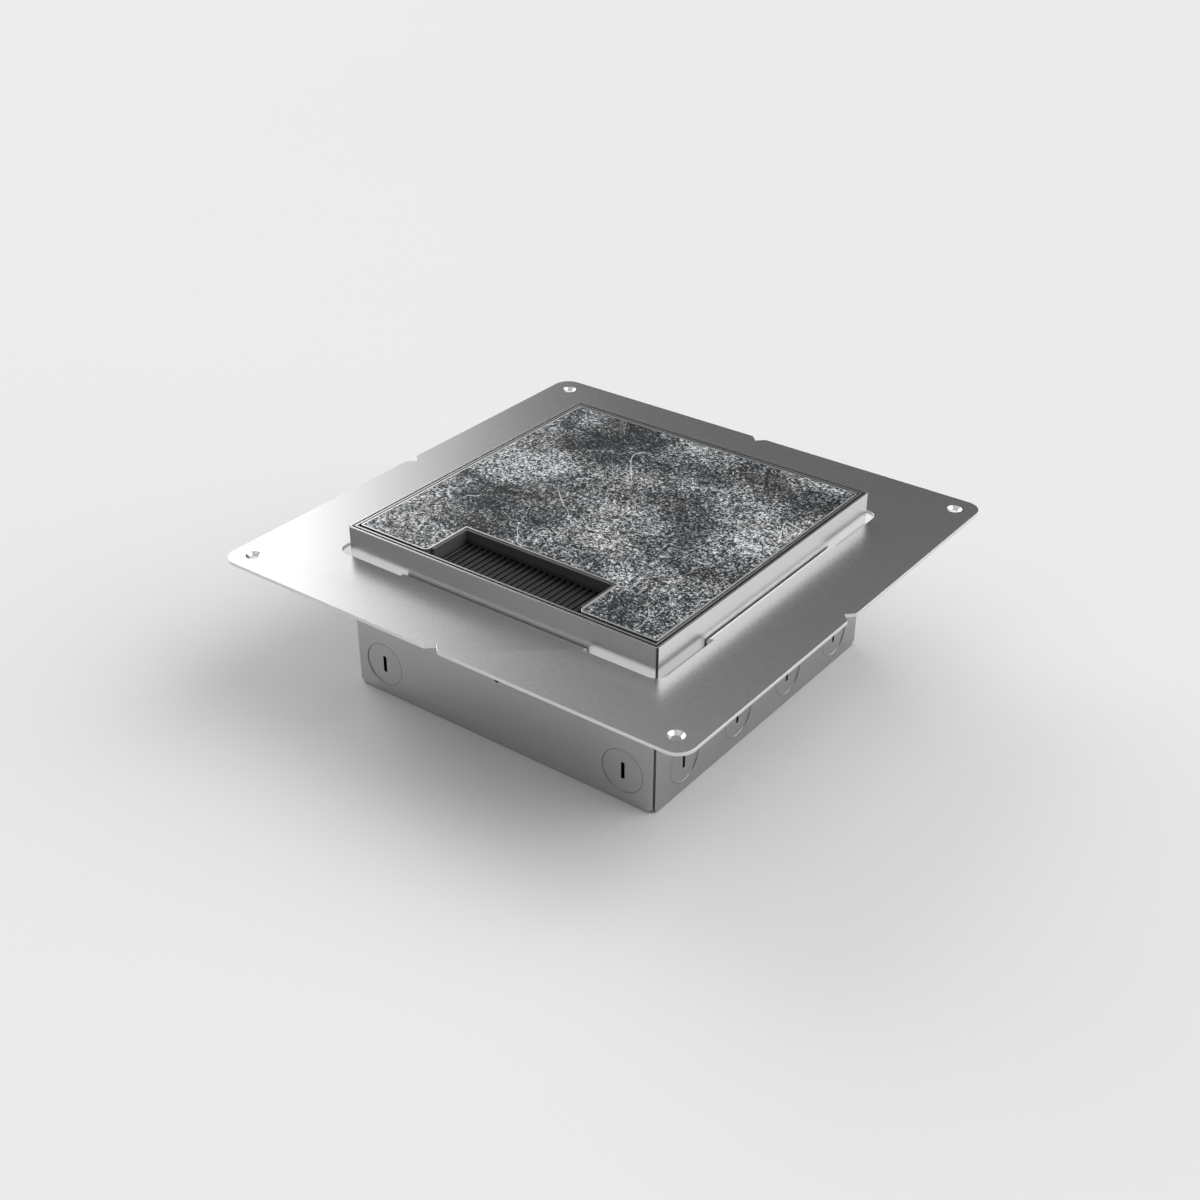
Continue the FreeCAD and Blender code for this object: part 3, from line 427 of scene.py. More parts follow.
def with_cracks(tree, where, colour, cloud):
    """Thin black cracks in the dark parts between the clouds."""
    rare = remap(tree, cloud, 0.5, 0.4, 0.0, 0.8)
    crack = number(tree, "MULTIPLY", fibres(tree, where, 137, 30, 0.005, 0.4), rare)
    return mixed(tree, crack, colour, (0.010, 0.011, 0.012, 1))


print("stone colours ready")

# %% [markdown]
# ## The stone itself
#
# The face is honed: neither polished nor rough, and it hardly gleams. The clouds are read
# from one chosen place of an endless noise, as a mason picks a part of the slab.

# %% Stone
def stone():
    """Honed dark stone: ground, clouds, fibres, threads, cracks and stains."""
    made, tree, shader, where = new_material("veined_stone", 0.42)
    slab = add(tree, "Mapping", Vector=where, Location=(-1.08, 2.26, 0)).outputs[0]
    cloud = noise(tree, slab, 20.0, 5.0, Roughness=0.6, Distortion=0.3)
    grit = noise(tree, where, 820.0, 2.0, Roughness=0.6)
    colour = with_threads(tree, where, stone_ground(tree, where, cloud, grit))
    colour = with_cracks(tree, where, colour, cloud)
    tree.links.new(colour, shader.inputs["Base Color"])
    tree.links.new(remap(tree, grit, 0.3, 0.7, 0.40, 0.60), shader.inputs["Roughness"])
    shader.inputs["Specular IOR Level"].default_value = 0.15
    bump = add(tree, "Bump", Strength=0.3, Distance=0.05 * mm, Height=grit)
    tree.links.new(bump.outputs[0], shader.inputs["Normal"])
    return made


veined_stone = stone()
print("stone nodes", len(veined_stone.node_tree.nodes))

# %% [markdown]
# ## Plastics and rubber
#
# Moulded parts take the texture of their mould. The black outlet has a fine spark-eroded
# grain, the white sockets are smooth with a faint waviness, and rubber is matt and nearly
# black. One function makes them all, from two near tones, a roughness and a grain.

# %% Plastic
def plastic(name, dark, pale, roughness, grain, relief, gleam=0.5):
    """Moulded plastic or rubber with a fine grain and a slow change of tone."""
    made, tree, shader, where = new_material(name, roughness)
    shader.inputs["Specular IOR Level"].default_value = gleam
    broad = noise(tree, where, 30.0, 4.0)
    fine = noise(tree, where, grain, 2.0)
    tone = mixed(tree, remap(tree, broad, 0.3, 0.7, 0.0, 1.0), dark + (1,), pale + (1,))
    tree.links.new(tone, shader.inputs["Base Color"])
    rough = remap(tree, broad, 0.3, 0.7, roughness - 0.06, roughness + 0.06)
    tree.links.new(rough, shader.inputs["Roughness"])
    bump = add(tree, "Bump", Strength=relief, Distance=0.03 * mm, Height=fine)
    tree.links.new(bump.outputs[0], shader.inputs["Normal"])
    return made


# The liner and the flap are one black plastic. The liner's is painted paler, painted light for
# its walls that face the front, and the flap's is painted darker, painted shade for its ribs
# that face up into the light.
black_plastic = plastic("black_plastic", (0.062, 0.061, 0.061), (0.076, 0.075, 0.075),
                        0.42, 2200, 0.3)
flap_plastic = plastic("flap_plastic", (0.007, 0.0075, 0.008), (0.012, 0.0125, 0.013),
                       0.34, 2200, 0.2, gleam=0.28)
white_plastic = plastic("white_plastic", (0.76, 0.755, 0.74), (0.80, 0.795, 0.78),
                        0.22, 160, 0.04)
jack_plastic = plastic("jack_plastic", (0.030, 0.030, 0.032), (0.045, 0.045, 0.048),
                       0.48, 1600, 0.25)
seal_rubber = plastic("seal_rubber", (0.005, 0.005, 0.005), (0.012, 0.012, 0.012),
                      0.8, 900, 0.3, gleam=0.12)
print("plastics made")

# %% [markdown]
# ## Finishing a piece
#
# A piece ends as one mesh object at the origin, with its place in its mesh, so that it
# moves with its body and its patterns stay put. One helper turns a bmesh into such an
# object, gives it its material, hangs it on the body that carries it, and hides the solids
# it stands for. Cut and folded sheet never has knife edges, so the helper can also add a
# narrow bevel, which catches the light along every edge.

# %% Finish a piece
sharp = math.radians(35)


def finished(bm, name, finishes, body, slot, *nodes, edge=0.0):
    """Makes the object from a bmesh and its finishes. Edge is the width of its bevel."""
    mesh = bpy.data.meshes.new(name)
    for face in bm.faces:
        face.smooth = True
    for crease in bm.edges:
        if len(crease.link_faces) == 2 and crease.calc_face_angle(0.0) > sharp:
            crease.smooth = False
    bm.to_mesh(mesh)
    bm.free()
    for finish in finishes if isinstance(finishes, list) else [finishes]:
        mesh.materials.append(finish)
    piece = bpy.data.objects.new(name, mesh)
    bpy.context.scene.collection.objects.link(piece)
    if edge:
        bevel = piece.modifiers.new("edge", "BEVEL")
        bevel.width = edge
        bevel.segments = 2
        bevel.limit_method = "ANGLE"
        bevel.angle_limit = sharp
        bevel.use_clamp_overlap = False
        bevel.harden_normals = True
    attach(piece, body)
    if nodes:
        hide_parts(*nodes)
    print(name, len(mesh.vertices), "vertices")
    return piece


# %% [markdown]
# ## Starting from a solid
#
# Where a CAD solid has the right shape, a copy of it is the best start. CAD hands it over
# as loose triangles, so they are merged, and flat faces are put together again, which
# leaves an edge only where the real piece has one for the bevel to find. Some faces, such
# as a cut edge, then get a finish of their own.

# %% Copies of solids
close = 0.05 * mm
bodies = {node: body for body, nodes in frame["record"]["behaviour"]["bodies"].items()
          for node in nodes}
slots = {part["node"]: part["material_slot"] for part in frame["record"]["subparts"]}


def solid_of(node):
    """Copy of a CAD node as one merged bmesh, with the flat faces in one piece each."""
    bm = bmesh.new()
    bm.from_mesh(frame["nodes"][node].data)
    bmesh.ops.remove_doubles(bm, verts=bm.verts, dist=0.002 * mm)
    bmesh.ops.dissolve_limit(bm, angle_limit=math.radians(0.5), verts=bm.verts, edges=bm.edges,
                             use_dissolve_boundaries=False)
    bm.normal_update()
    return bm


def dressed(node, name, finish, edge):
    """The node's own solid with soft edges. Edge is in millimetres."""
    return finished(solid_of(node), name, finish, bodies[node], slots[node], node,
                    edge=edge * mm)


def zone(bm, index, belongs):
    """Gives the faces that belong to a zone another finish of the piece."""
    picked = [face for face in bm.faces if belongs(face)]
    for face in picked:
        face.material_index = index
    print("zone of", len(picked), "faces")


def faces_up(node):
    """Test for the level faces at the top of a node."""
    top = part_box(node)[1].z
    return lambda face: face.normal.z > 0.9 and min(v.co.z for v in face.verts) > top - close


# %% [markdown]
# ## The folded box
#
# The box is one sheet, folded up at four sides, with a slit left open at each corner. Its
# solid is right as it is, but pressed sheet is tighter at its folds than a drawing says,
# so the outer arc of the four folds is drawn in, by scaling it towards the corner. The
# rim gets the paler steel of the surround beside it, a painted highlight, and the slits get
# a dark steel, painted shade where shade falls between the walls.

# %% Box
box_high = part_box("box_tray")[1]
box_half = box_high.x
fold = 2.2 * mm
tight_fold = 1.0 * mm
slit = 2.0 * mm


def outside_fold(vert, axis):
    """Depth below a wall's outer face of a vertex on the arc of the fold; else None."""
    depth = box_half - abs(vert.co[axis])
    radius = math.hypot(depth - fold, vert.co.z - fold)
    on_arc = max(depth, vert.co.z) < fold * 1.01 and abs(radius - fold) < 0.02 * mm
    return depth if on_arc else None


def in_slit(face):
    """Whether a face lies in the slit between two walls."""
    middle = face.calc_center_median()
    near = min(abs(middle.x), abs(middle.y)) > box_half - slit
    inner = max(abs(middle.x), abs(middle.y)) < box_half - 0.02 * mm
    return near and inner and abs(face.normal.z) < 0.5


bm = solid_of("box_tray")
drawn_in = 0
for vert in bm.verts:
    for axis in (0, 1):
        depth = outside_fold(vert, axis)
        if depth is not None:
            ratio = tight_fold / fold
            vert.co[axis] = math.copysign(box_half - depth * ratio, vert.co[axis])
            vert.co.z *= ratio
            drawn_in += 1
            break
print("fold vertices drawn in:", drawn_in)
bm.normal_update()
# Painted highlight on the rim's top faces and painted shade in the corner slits.
zone(bm, 1, faces_up("box_tray"))
zone(bm, 2, in_slit)
finished(bm, "box_shell", [box_steel, frame_steel, shade_steel], "root", "sheet", "box_tray",
         edge=0.12 * mm)

# %% [markdown]
# ## A lathe
#
# Rings, studs, pins and screws are turned, and their meshes are too: a few points give
# half of the outline, and a full spin about the axis closes it. An outline that ends on
# the axis makes a solid, and a closed outline beside the axis makes a ring. A spin leaves
# its first and last points in one place, so doubles are merged and the faces are turned
# outwards. Parts are made upright at the origin and then put in their place.

# %% Lathe
def lathe(outline, steps=28, closed=False):
    """Spins points (radius, height) round Z. A closed outline makes a ring."""
    bm = bmesh.new()
    verts = [bm.verts.new((radius, 0, z)) for radius, z in outline]
    pairs = list(zip(verts, verts[1:]))
    if closed:
        pairs.append((verts[-1], verts[0]))
    edges = [bm.edges.new(pair) for pair in pairs]
    bmesh.ops.spin(bm, geom=verts + edges, cent=(0, 0, 0), axis=(0, 0, 1), angle=2 * math.pi,
                   steps=steps, use_merge=True)
    bmesh.ops.remove_doubles(bm, verts=bm.verts, dist=1e-7)
    bmesh.ops.recalc_face_normals(bm, faces=bm.faces)
    return bm


def placed(bm, place, axis=(0, 0, 1)):
    """Turns a part that stands along Z to an axis, and moves it to its place."""
    turned = Vector((0, 0, 1)).rotation_difference(Vector(axis)).to_matrix().to_4x4()
    bmesh.ops.transform(bm, matrix=Matrix.Translation(place) @ turned, verts=bm.verts)
    return bm


def joined(parts):
    """One bmesh from several."""
    whole = bmesh.new()
    for part in parts:
        bucket = bpy.data.meshes.new("bucket")
        part.to_mesh(bucket)
        part.free()
        whole.from_mesh(bucket)
        bpy.data.meshes.remove(bucket)
    return whole


print("lathe ready")

# %% [markdown]
# ## Painted shade round the knock-outs
#
# A punch has half sheared a disc for each conduit. The disc's step is less than half a
# millimetre deep, and what is seen of it is a thin dark ring, the shade in that step. The
# step is not modelled: its shade is painted, as a dark flat hoop laid on the wall. It needs
# a round outline and almost no height, so it is a small rectangle that is spun about the
# disc's axis.

# %% Knock-out rings
disc_radius = 12.6 * mm
disc_height = 19.1 * mm
front_place = 81.5 * mm
side_places = (-75 * mm, -25 * mm, 25 * mm, 75 * mm)
shade_width = 0.28 * mm
proud = 0.03 * mm
hoop_outline = [(disc_radius, -proud), (disc_radius, proud),
                (disc_radius + shade_width, proud), (disc_radius + shade_width, -proud)]
discs = [((side * front_place, face * box_half), (0, face)) for side in (-1, 1)
         for face in (-1, 1)]
discs += [((face * box_half, place), (face, 0)) for place in side_places for face in (-1, 1)]
rings = []
# Painted shade: a dark hoop where the shade of each disc's step falls.
for (x, y), (across, along) in discs:
    hoop = lathe(hoop_outline, 64, closed=True)
    rings.append(placed(hoop, (x, y, disc_height), (across, along, 0)))
finished(joined(rings), "knockout_rings", shade_steel, "root", "sheet")

# %% [markdown]
# ## The flange plate
#
# The plate is cut from thicker sheet, so its matt cut edge is the widest light line on the
# object. The countersunk screw holes keep the plate's own finish.

# %% Plate
plate_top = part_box("flange_plate")[1].z
plate_sheet = 2.0 * mm
hole_place = 137.5 * mm
hole_reach = 5 * mm


def on_cut_edge(face):
    """Whether a face is the plate's cut edge, which stands between its two sides."""
    middle = face.calc_center_median()
    at_hole = all(abs(abs(middle[axis]) - hole_place) < hole_reach for axis in (0, 1))
    level = min(vert.co.z for vert in face.verts) > plate_top - plate_sheet - close
    return level and abs(face.normal.z) < 0.3 and not at_hole


bm = solid_of("flange_plate")
zone(bm, 1, on_cut_edge)
finished(bm, "plate_panel", [plate_steel, cut_edge], "plate", "sheet", "flange_plate",
         edge=0.18 * mm)

# %% [markdown]
# ## The surround of the lid
#
# The surround shows no more than its top edge. The shear leaves a slope of less than half
# a millimetre along its outer side. The slope gets the black rubber's finish, painted shade
# that makes the gap's dark line look a little wider. A cut below the top gives the slope a
# foot, and the outer corners are moved in to make it. The surround's top is one long face
# that runs round the lid like a deep U. Such a face is split into triangles here, because
# every program splits a U in its own way, and some fill its bay.

# %% Surround
surround_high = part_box("lid_frame")[1]
sheared = 0.42 * mm

bm = solid_of("lid_frame")
bmesh.ops.bisect_plane(bm, geom=bm.verts[:] + bm.edges[:] + bm.faces[:], dist=0.002 * mm,
                       plane_co=(0, 0, surround_high.z - sheared), plane_no=(0, 0, 1))
bmesh.ops.triangulate(bm, faces=[face for face in bm.faces if len(face.verts) > 4])
moves = 0
for vert in bm.verts:
    for axis in (0, 1):
        at_top = vert.co.z > surround_high.z - close
        if at_top and abs(vert.co[axis]) > surround_high.x - close:
            vert.co[axis] *= 1 - sheared / surround_high.x
            moves += 1
print("outer edge sloped at", moves, "places")
bm.normal_update()


def on_slope(face):
    """Whether a face is part of the sheared slope."""
    return 0.3 < face.normal.z < 0.9 and face.calc_center_median().z > surround_high.z - sheared


# Painted shade: the slope gets the black rubber's finish.
zone(bm, 1, on_slope)
finished(bm, "lid_surround", [frame_steel, seal_rubber], "root", slots["lid_frame"],
         "lid_frame", edge=0.1 * mm)

# %% [markdown]
# ## The lid
#
# The lid is a shallow pan of thin sheet, whose rim is the light line round the stone; the
# rim gets a paler copy of the steel, a painted highlight. The tile fills the pan, and the
# outlet's liner and its ribbed flap sit in the bay at the front. All four solids are right
# in shape and only need soft edges. The moulded flap has the roundest ones, and they draw
# a faint light line along each rib.

# %% Lid
bm = solid_of("lid_tray")
# Painted highlight: the pan's top faces get the paler rim steel.
zone(bm, 1, faces_up("lid_tray"))
finished(bm, "lid_pan", [frame_steel, rim_highlight_steel], "lid", slots["lid_tray"], "lid_tray",
         edge=0.12 * mm)
dressed("lid_infill", "lid_tile", veined_stone, 0.12)
dressed("outlet_insert", "outlet_liner", black_plastic, 0.2)
dressed("cable_flap", "outlet_flap", flap_plastic, 0.32)

# %% [markdown]
# ## Handles on a bmesh
#
# Operators answer with a mixed list of what they made, and the next one wants only its
# points or its edges. Three short helpers sort that out, and a fourth draws a flat
# outline up to a solid, which is how the strip, the nuts and the screw heads are made.

# %% Bmesh helpers
def verts_of(geom):
    """The vertices in an operator's answer."""
    return [item for item in geom if isinstance(item, bmesh.types.BMVert)]


def edges_of(geom):
    """The edges in an operator's answer."""
    return [item for item in geom if isinstance(item, bmesh.types.BMEdge)]


def edges_at(verts):
    """All edges that meet some vertices."""
    return list({edge for vert in verts for edge in vert.link_edges})


def drawn_up(bm, height):
    """Extrudes all faces upwards, keeps them as the foot, and returns the raised vertices."""
    grown = bmesh.ops.extrude_face_region(bm, geom=bm.faces[:], use_keep_orig=True)
    raised = verts_of(grown["geom"])
    bmesh.ops.translate(bm, verts=raised, vec=(0, 0, height))
    return raised


print("bmesh helpers ready")

# %% [markdown]
# ## A strip in the gap
#
# Between the box and the surround runs a gap of less than a millimetre, and shade makes it
# a thin dark line between the two steel edges. That shade is painted: a black strip with
# the rubber's finish stands in the gap. It is a square hoop: two squares joined by a bridge
# and extruded upwards.

# %% Gap strip
box_sheet = 1.25 * mm
strip_play = 0.03 * mm
strip_height = 3.22 * mm
strip_drop = 0.13 * mm

bm = bmesh.new()
loops = []
for half in (surround_high.x + strip_play, box_half - box_sheet - strip_play):
    square = bmesh.ops.create_circle(bm, segments=4, radius=half * math.sqrt(2))["verts"]
    bmesh.ops.rotate(bm, verts=square, cent=(0, 0, 0),
                     matrix=Matrix.Rotation(math.radians(45), 3, "Z"))
    loops += edges_at(square)
bmesh.ops.bridge_loops(bm, edges=loops)
bmesh.ops.translate(bm, verts=bm.verts, vec=(0, 0, box_high.z - strip_drop - strip_height))
drawn_up(bm, strip_height)
bmesh.ops.recalc_face_normals(bm, faces=bm.faces)
# Painted shade: a black strip in the gap.
finished(bm, "gap_shade_strip", seal_rubber, "root", "seal_rubber")

# %% [markdown]
# ## The rest of the folded and moulded parts
#
# Most of the inner parts are right in shape too, and only need their edges broken. How
# far depends on how a part is made: a stamped strip is nearly sharp, a moulded face has
# a soft edge, and rubber is the roundest. A table of part, name, finish and edge says it
# in one place, and a loop makes them.

# %% Inner parts
inner_parts = [
    # node, name, finish, edge in mm
    ("frame_brackets", "surround_brackets", galvanised, 0.12),
    ("frame_screws", "surround_screws", zinc_plate, 0.2),
    ("frame_seal", "surround_seal", seal_rubber, 0.3),
    ("lid_stiffener", "lid_stiffening_sheet", galvanised, 0.12),
    ("pivot_plates", "lid_bearing_plates", frame_steel, 0.15),
    ("pivot_pins", "lid_pins", zinc_plate, 0.15),
    ("level_washers", "clamp_washers", zinc_plate, 0.1),
    ("carrier_left", "device_bridge_left", galvanised, 0.12),
    ("carrier_right", "device_bridge_right", galvanised, 0.12),
    ("contact_sleeves", "socket_sleeves", contact_brass, 0.08),
    ("earth_clips", "socket_earth_clips", spring_wire, 0.08),
    ("data_module", "data_face", white_plastic, 0.3),
    ("data_jacks", "data_ports", jack_plastic, 0.15),
    ("blank_cover", "blank_face", white_plastic, 0.3),
    ("earth_washer", "earth_terminal_washer", contact_brass, 0.1),
]
socket_numbers = (1, 2, 3, 4)
inner_parts += [("power_socket_%d" % which, "socket_face_%d" % which, white_plastic, 0.3)
                for which in socket_numbers]
for node, name, finish, edge in inner_parts:
    dressed(node, name, finish, edge)

# %% [markdown]
# ## Where the fasteners are
#
# Fasteners of one kind share a CAD node, as separate solids. Their places can be read
# from it: starting at one vertex and walking along the edges reaches all of one solid
# and nothing else. The box round each solid then gives its middle and its length.

# %% Separate solids of a node
def solid_boxes(node):
    """Lowest corner, highest corner and middle of each separate solid in a node."""
    bm = solid_of(node)
    left = set(bm.verts)
    boxes = []
    while left:
        reached, front = set(), [left.pop()]
        while front:
            vert = front.pop()
            reached.add(vert)
            for edge in vert.link_edges:
                other = edge.other_vert(vert)
                if other in left:
                    left.remove(other)
                    front.append(other)
        low = Vector([min(vert.co[axis] for vert in reached) for axis in range(3)])
        high = Vector([max(vert.co[axis] for vert in reached) for axis in range(3)])
        boxes.append((low, high, (low + high) / 2))
    bm.free()
    print(node, len(boxes), "solids")
    return boxes


fastener_nodes = ("level_screws", "level_nuts", "carrier_studs", "carrier_nuts",
                  "insert_screws", "earth_stud", "earth_nuts", "data_jacks")
found = {node: solid_boxes(node) for node in fastener_nodes}

# %% [markdown]
# ## Threads
#
# A thread is a groove that climbs by one pitch each turn. At this size it can't be told
# from a stack of rings, so the outline of a threaded bar simply goes in and out once for
# each pitch, and the lathe does the rest.

# %% Thread
def threaded(diameter, length, pitch):
    """Threaded bar along Z, from 0 to its length, with a small chamfer at its top."""
    crest = diameter / 2
    root = crest - 0.55 * pitch
    turns = max(1, int(length / pitch))
    points = [(0, 0)]
    for index in range(turns):
        foot = index * pitch
        points += [(root, foot), (crest, foot + 0.4 * pitch), (crest, foot + 0.6 * pitch)]
    points += [(root, length - 0.1 * pitch), (root - 0.1 * pitch, length), (0, length)]
    return lathe(points)


print("threads ready")

# %% [markdown]
# ## Hexagon nuts
#
# A nut joins a hexagon to a circle. A bridge between two loops is cleanest where both
# have as many points, so each side of the hexagon is cut in four, and the circle gets
# twenty-four points. The flat ring between them is then extruded to the nut's height.

# %% Nut
def hexagon_loop(bm, flats):
    """Edges of a hexagon of 24 points, in the XY plane of an empty bmesh."""
    corners = bmesh.ops.create_circle(bm, segments=6, radius=flats / math.sqrt(3))["verts"]
    bmesh.ops.subdivide_edges(bm, edges=edges_at(corners), cuts=3)
    return bm.edges[:]


def circle_loop(bm, diameter):
    """Edges of a circle of 24 points, in the XY plane."""
    verts = bmesh.ops.create_circle(bm, segments=24, radius=diameter / 2)["verts"]
    return edges_at(verts)


def nut(flats, bore, height):
    """Hexagon nut along Z, from 0 to its height."""
    bm = bmesh.new()
    outer = hexagon_loop(bm, flats)
    bmesh.ops.bridge_loops(bm, edges=outer + circle_loop(bm, bore))
    drawn_up(bm, height)
    bmesh.ops.recalc_face_normals(bm, faces=bm.faces)
    return bm


print("nuts ready")

# %% [markdown]
# ## Screw heads
#
# A hexagon head is a filled hexagon drawn up, and then turned to a shallow crown, which
# lowers its corners. A round head with a key's socket is made from the top: a hexagon
# and a circle are bridged, and each loop is drawn down, to the socket's depth and to the
# head's height, and closed with a face.

# %% Screw heads
def hex_head(flats, height, crown=0.25):
    """Hexagon head along Z, whose top is turned to a shallow crown."""
    bm = bmesh.new()
    bmesh.ops.contextual_create(bm, geom=hexagon_loop(bm, flats))
    for vert in drawn_up(bm, height):
        out = math.hypot(vert.co.x, vert.co.y) - flats / 2
        vert.co.z -= crown * max(out, 0.0)
    bmesh.ops.recalc_face_normals(bm, faces=bm.faces)
    return bm


def socket_head(diameter, height, key, depth):
    """Round head along Z with a hexagon socket in its top."""
    bm = bmesh.new()
    inner = hexagon_loop(bm, key)
    outer = circle_loop(bm, diameter)
    bmesh.ops.bridge_loops(bm, edges=inner + outer)
    for loop, drop in ((inner, depth), (outer, height)):
        grown = bmesh.ops.extrude_edge_only(bm, edges=loop)["geom"]
        bmesh.ops.translate(bm, verts=verts_of(grown), vec=(0, 0, -drop))
        bmesh.ops.contextual_create(bm, geom=edges_of(grown))
    bmesh.ops.translate(bm, verts=bm.verts, vec=(0, 0, height))
    bmesh.ops.recalc_face_normals(bm, faces=bm.faces)
    return bm


print("screw heads ready")

# %% [markdown]
# ## Level clamps
#
# Each tab of the plate is held by a hexagon screw that comes from inside the box and
# slides in its slot. Its thread stands out of the nut on the outside. The screw's box
# tells which wall it goes through: it lies furthest out along that wall's direction.

# %% Level clamps
m4, m4_pitch, m4_flats = 4.0 * mm, 0.7 * mm, 7.0 * mm
head_height = 2.8 * mm
bore_play = 0.08 * mm
nut_edge = 0.15 * mm


def outward_from(middle):
    """Direction from the middle of the box to a fastener in a wall."""
    if abs(middle.x) > abs(middle.y):
        return Vector((math.copysign(1, middle.x), 0, 0))
    return Vector((0, math.copysign(1, middle.y), 0))


screws, nuts = [], []
for low, high, middle in found["level_screws"]:
    axis = outward_from(middle)
    length = abs((high - low).dot(axis))
    seat = middle - axis * (length / 2 - head_height)
    screws.append(placed(hex_head(m4_flats, head_height), seat, -axis))
    screws.append(placed(threaded(m4, length - head_height, m4_pitch), seat, axis))
for low, high, middle in found["level_nuts"]:
    axis = outward_from(middle)
    thickness = abs((high - low).dot(axis))
    foot = middle - axis * (thickness / 2)
    nuts.append(placed(nut(m4_flats, m4 + bore_play, thickness), foot, axis))
finished(joined(screws), "clamp_screws", zinc_plate, "plate", "zinc", "level_screws")
finished(joined(nuts), "clamp_nuts", zinc_plate, "plate", "zinc", "level_nuts", edge=nut_edge)

# %% [markdown]
# ## Studs, nuts and the earth terminal
#
# The device bridges stand on the box's floor and are held by welded studs. The same
# threaded bar and nut, in brass and one size up, make the earth terminal.

# %% Studs and nuts
m5, m5_pitch, m5_flats = 5.0 * mm, 0.8 * mm, 8.0 * mm


def studs(node, diameter, pitch):
    """Threaded bars that stand where a node's solids stand."""
    return joined([placed(threaded(diameter, high.z - low.z, pitch), (middle.x, middle.y, low.z))
                   for low, high, middle in found[node]])


def flat_nuts(node, flats, bore):
    """Nuts that lie where a node's solids lie."""
    return joined([placed(nut(flats, bore, high.z - low.z), (middle.x, middle.y, low.z))
                   for low, high, middle in found[node]])


finished(studs("carrier_studs", m4, m4_pitch), "bridge_studs", zinc_plate, "root", "zinc",
         "carrier_studs")
finished(flat_nuts("carrier_nuts", m4_flats, m4 + bore_play), "bridge_nuts", zinc_plate,
         "root", "zinc", "carrier_nuts", edge=nut_edge)
finished(studs("earth_stud", m5, m5_pitch), "earth_terminal", contact_brass, "root",
         "contact_brass", "earth_stud")
finished(flat_nuts("earth_nuts", m5_flats, m5 + bore_play), "earth_terminal_nuts",
         contact_brass, "root", "contact_brass", "earth_nuts", edge=nut_edge)

# %% [markdown]
# ## Screws of the outlet
#
# Four small screws come up through the liner's flange into the lid. Their heads are seen
# from below when the lid is open, and have a hexagon socket.

# %% Outlet screws
m3, m3_pitch = 3.0 * mm, 0.5 * mm
liner_head = 2.0 * mm
key_flats, key_depth = 2.0 * mm, 1.2 * mm
liner_screws = []
for low, high, middle in found["insert_screws"]:
    seat = (middle.x, middle.y, low.z + liner_head)
    head = socket_head(high.x - low.x, liner_head, key_flats, key_depth)
    shank = threaded(m3, high.z - low.z - liner_head, m3_pitch)
    liner_screws += [placed(head, seat, (0, 0, -1)), placed(shank, seat)]
finished(joined(liner_screws), "liner_screws", zinc_plate, "lid", "zinc", "insert_screws")

# %% [markdown]
# ## The flap's spring
#
# A torsion spring is one wire. Spinning a circle about the pin's axis while it also
# creeps along that axis gives the coil, which is what a spin's dvec is for. The coil ends
# a quarter turn early, so that its two legs leave it at right angles, and it is wound a
# trace closer than its wire, so that it stays within its pocket.

# %% Spring coil
spring_low, spring_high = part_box("flap_spring")
pin_low, pin_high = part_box("flap_pin")
pin_middle = (pin_low + pin_high) / 2
wire_radius = 0.45 * mm
turns = 6
spun_turns = turns - 0.75
steps_each = 20
coil_radius = spring_high.y - pin_middle.y - wire_radius
coil_length = turns * 2 * wire_radius
creep = (coil_length - 2 * wire_radius) / spun_turns / steps_each * 0.98
start = Vector((-coil_length / 2 + wire_radius, pin_middle.y, pin_middle.z))
below = start + Vector((0, 0, -coil_radius))
crosswise = (Matrix.Rotation(math.radians(90), 4, "Y")
             @ Matrix.Rotation(math.radians(90), 4, "X"))

bm = bmesh.new()
ring = bmesh.ops.create_circle(bm, segments=10, radius=wire_radius)["verts"]
bmesh.ops.transform(bm, matrix=Matrix.Translation(below) @ crosswise, verts=ring)
first_edges = bm.edges[:]
swept = bmesh.ops.spin(bm, geom=ring + first_edges, cent=start, axis=(1, 0, 0),
                       dvec=(creep, 0, 0), angle=2 * math.pi * spun_turns,
                       steps=int(steps_each * spun_turns))
last_edges = edges_of(swept["geom_last"])
print("coil of", turns, "turns,", round(coil_length / mm, 2), "mm long")

# %% [markdown]
# ## The spring's legs
#
# The two ends of the wire are drawn out straight and closed: one leg lies under the flap,
# and the other hangs behind the coil and bears on the liner.

# %% Spring legs
leg_slope = math.radians(16)
front_leg = pin_middle.y - spring_low.y - 0.3 * mm
rear_leg = 3.8 * mm
for edges, way in ((first_edges, Vector((0, -1, math.tan(leg_slope))) * front_leg),
                   (last_edges, Vector((0, 0, -rear_leg)))):
    drawn = bmesh.ops.extrude_edge_only(bm, edges=edges)["geom"]
    bmesh.ops.translate(bm, verts=verts_of(drawn), vec=way)
    bmesh.ops.contextual_create(bm, geom=edges_of(drawn))
bmesh.ops.recalc_face_normals(bm, faces=bm.faces)
finished(bm, "flap_coil", spring_wire, "flap", "spring_steel", "flap_spring")

# %% [markdown]
# ## The flap's pin
#
# The pin is a plain bar with a small chamfer at each end, so that it can be pushed
# through the liner and the coil. Half of its outline goes on the lathe.

# %% Flap pin
pin_radius = (pin_high.z - pin_low.z) / 2
pin_length = pin_high.x - pin_low.x
chamfer = 0.4 * mm
pin = lathe([(0, 0), (pin_radius - chamfer, 0), (pin_radius, chamfer),
             (pin_radius, pin_length - chamfer), (pin_radius - chamfer, pin_length),
             (0, pin_length)])
finished(placed(pin, (pin_low.x, pin_middle.y, pin_middle.z), (1, 0, 0)), "flap_axle",
         zinc_plate, "lid", "zinc", "flap_pin")

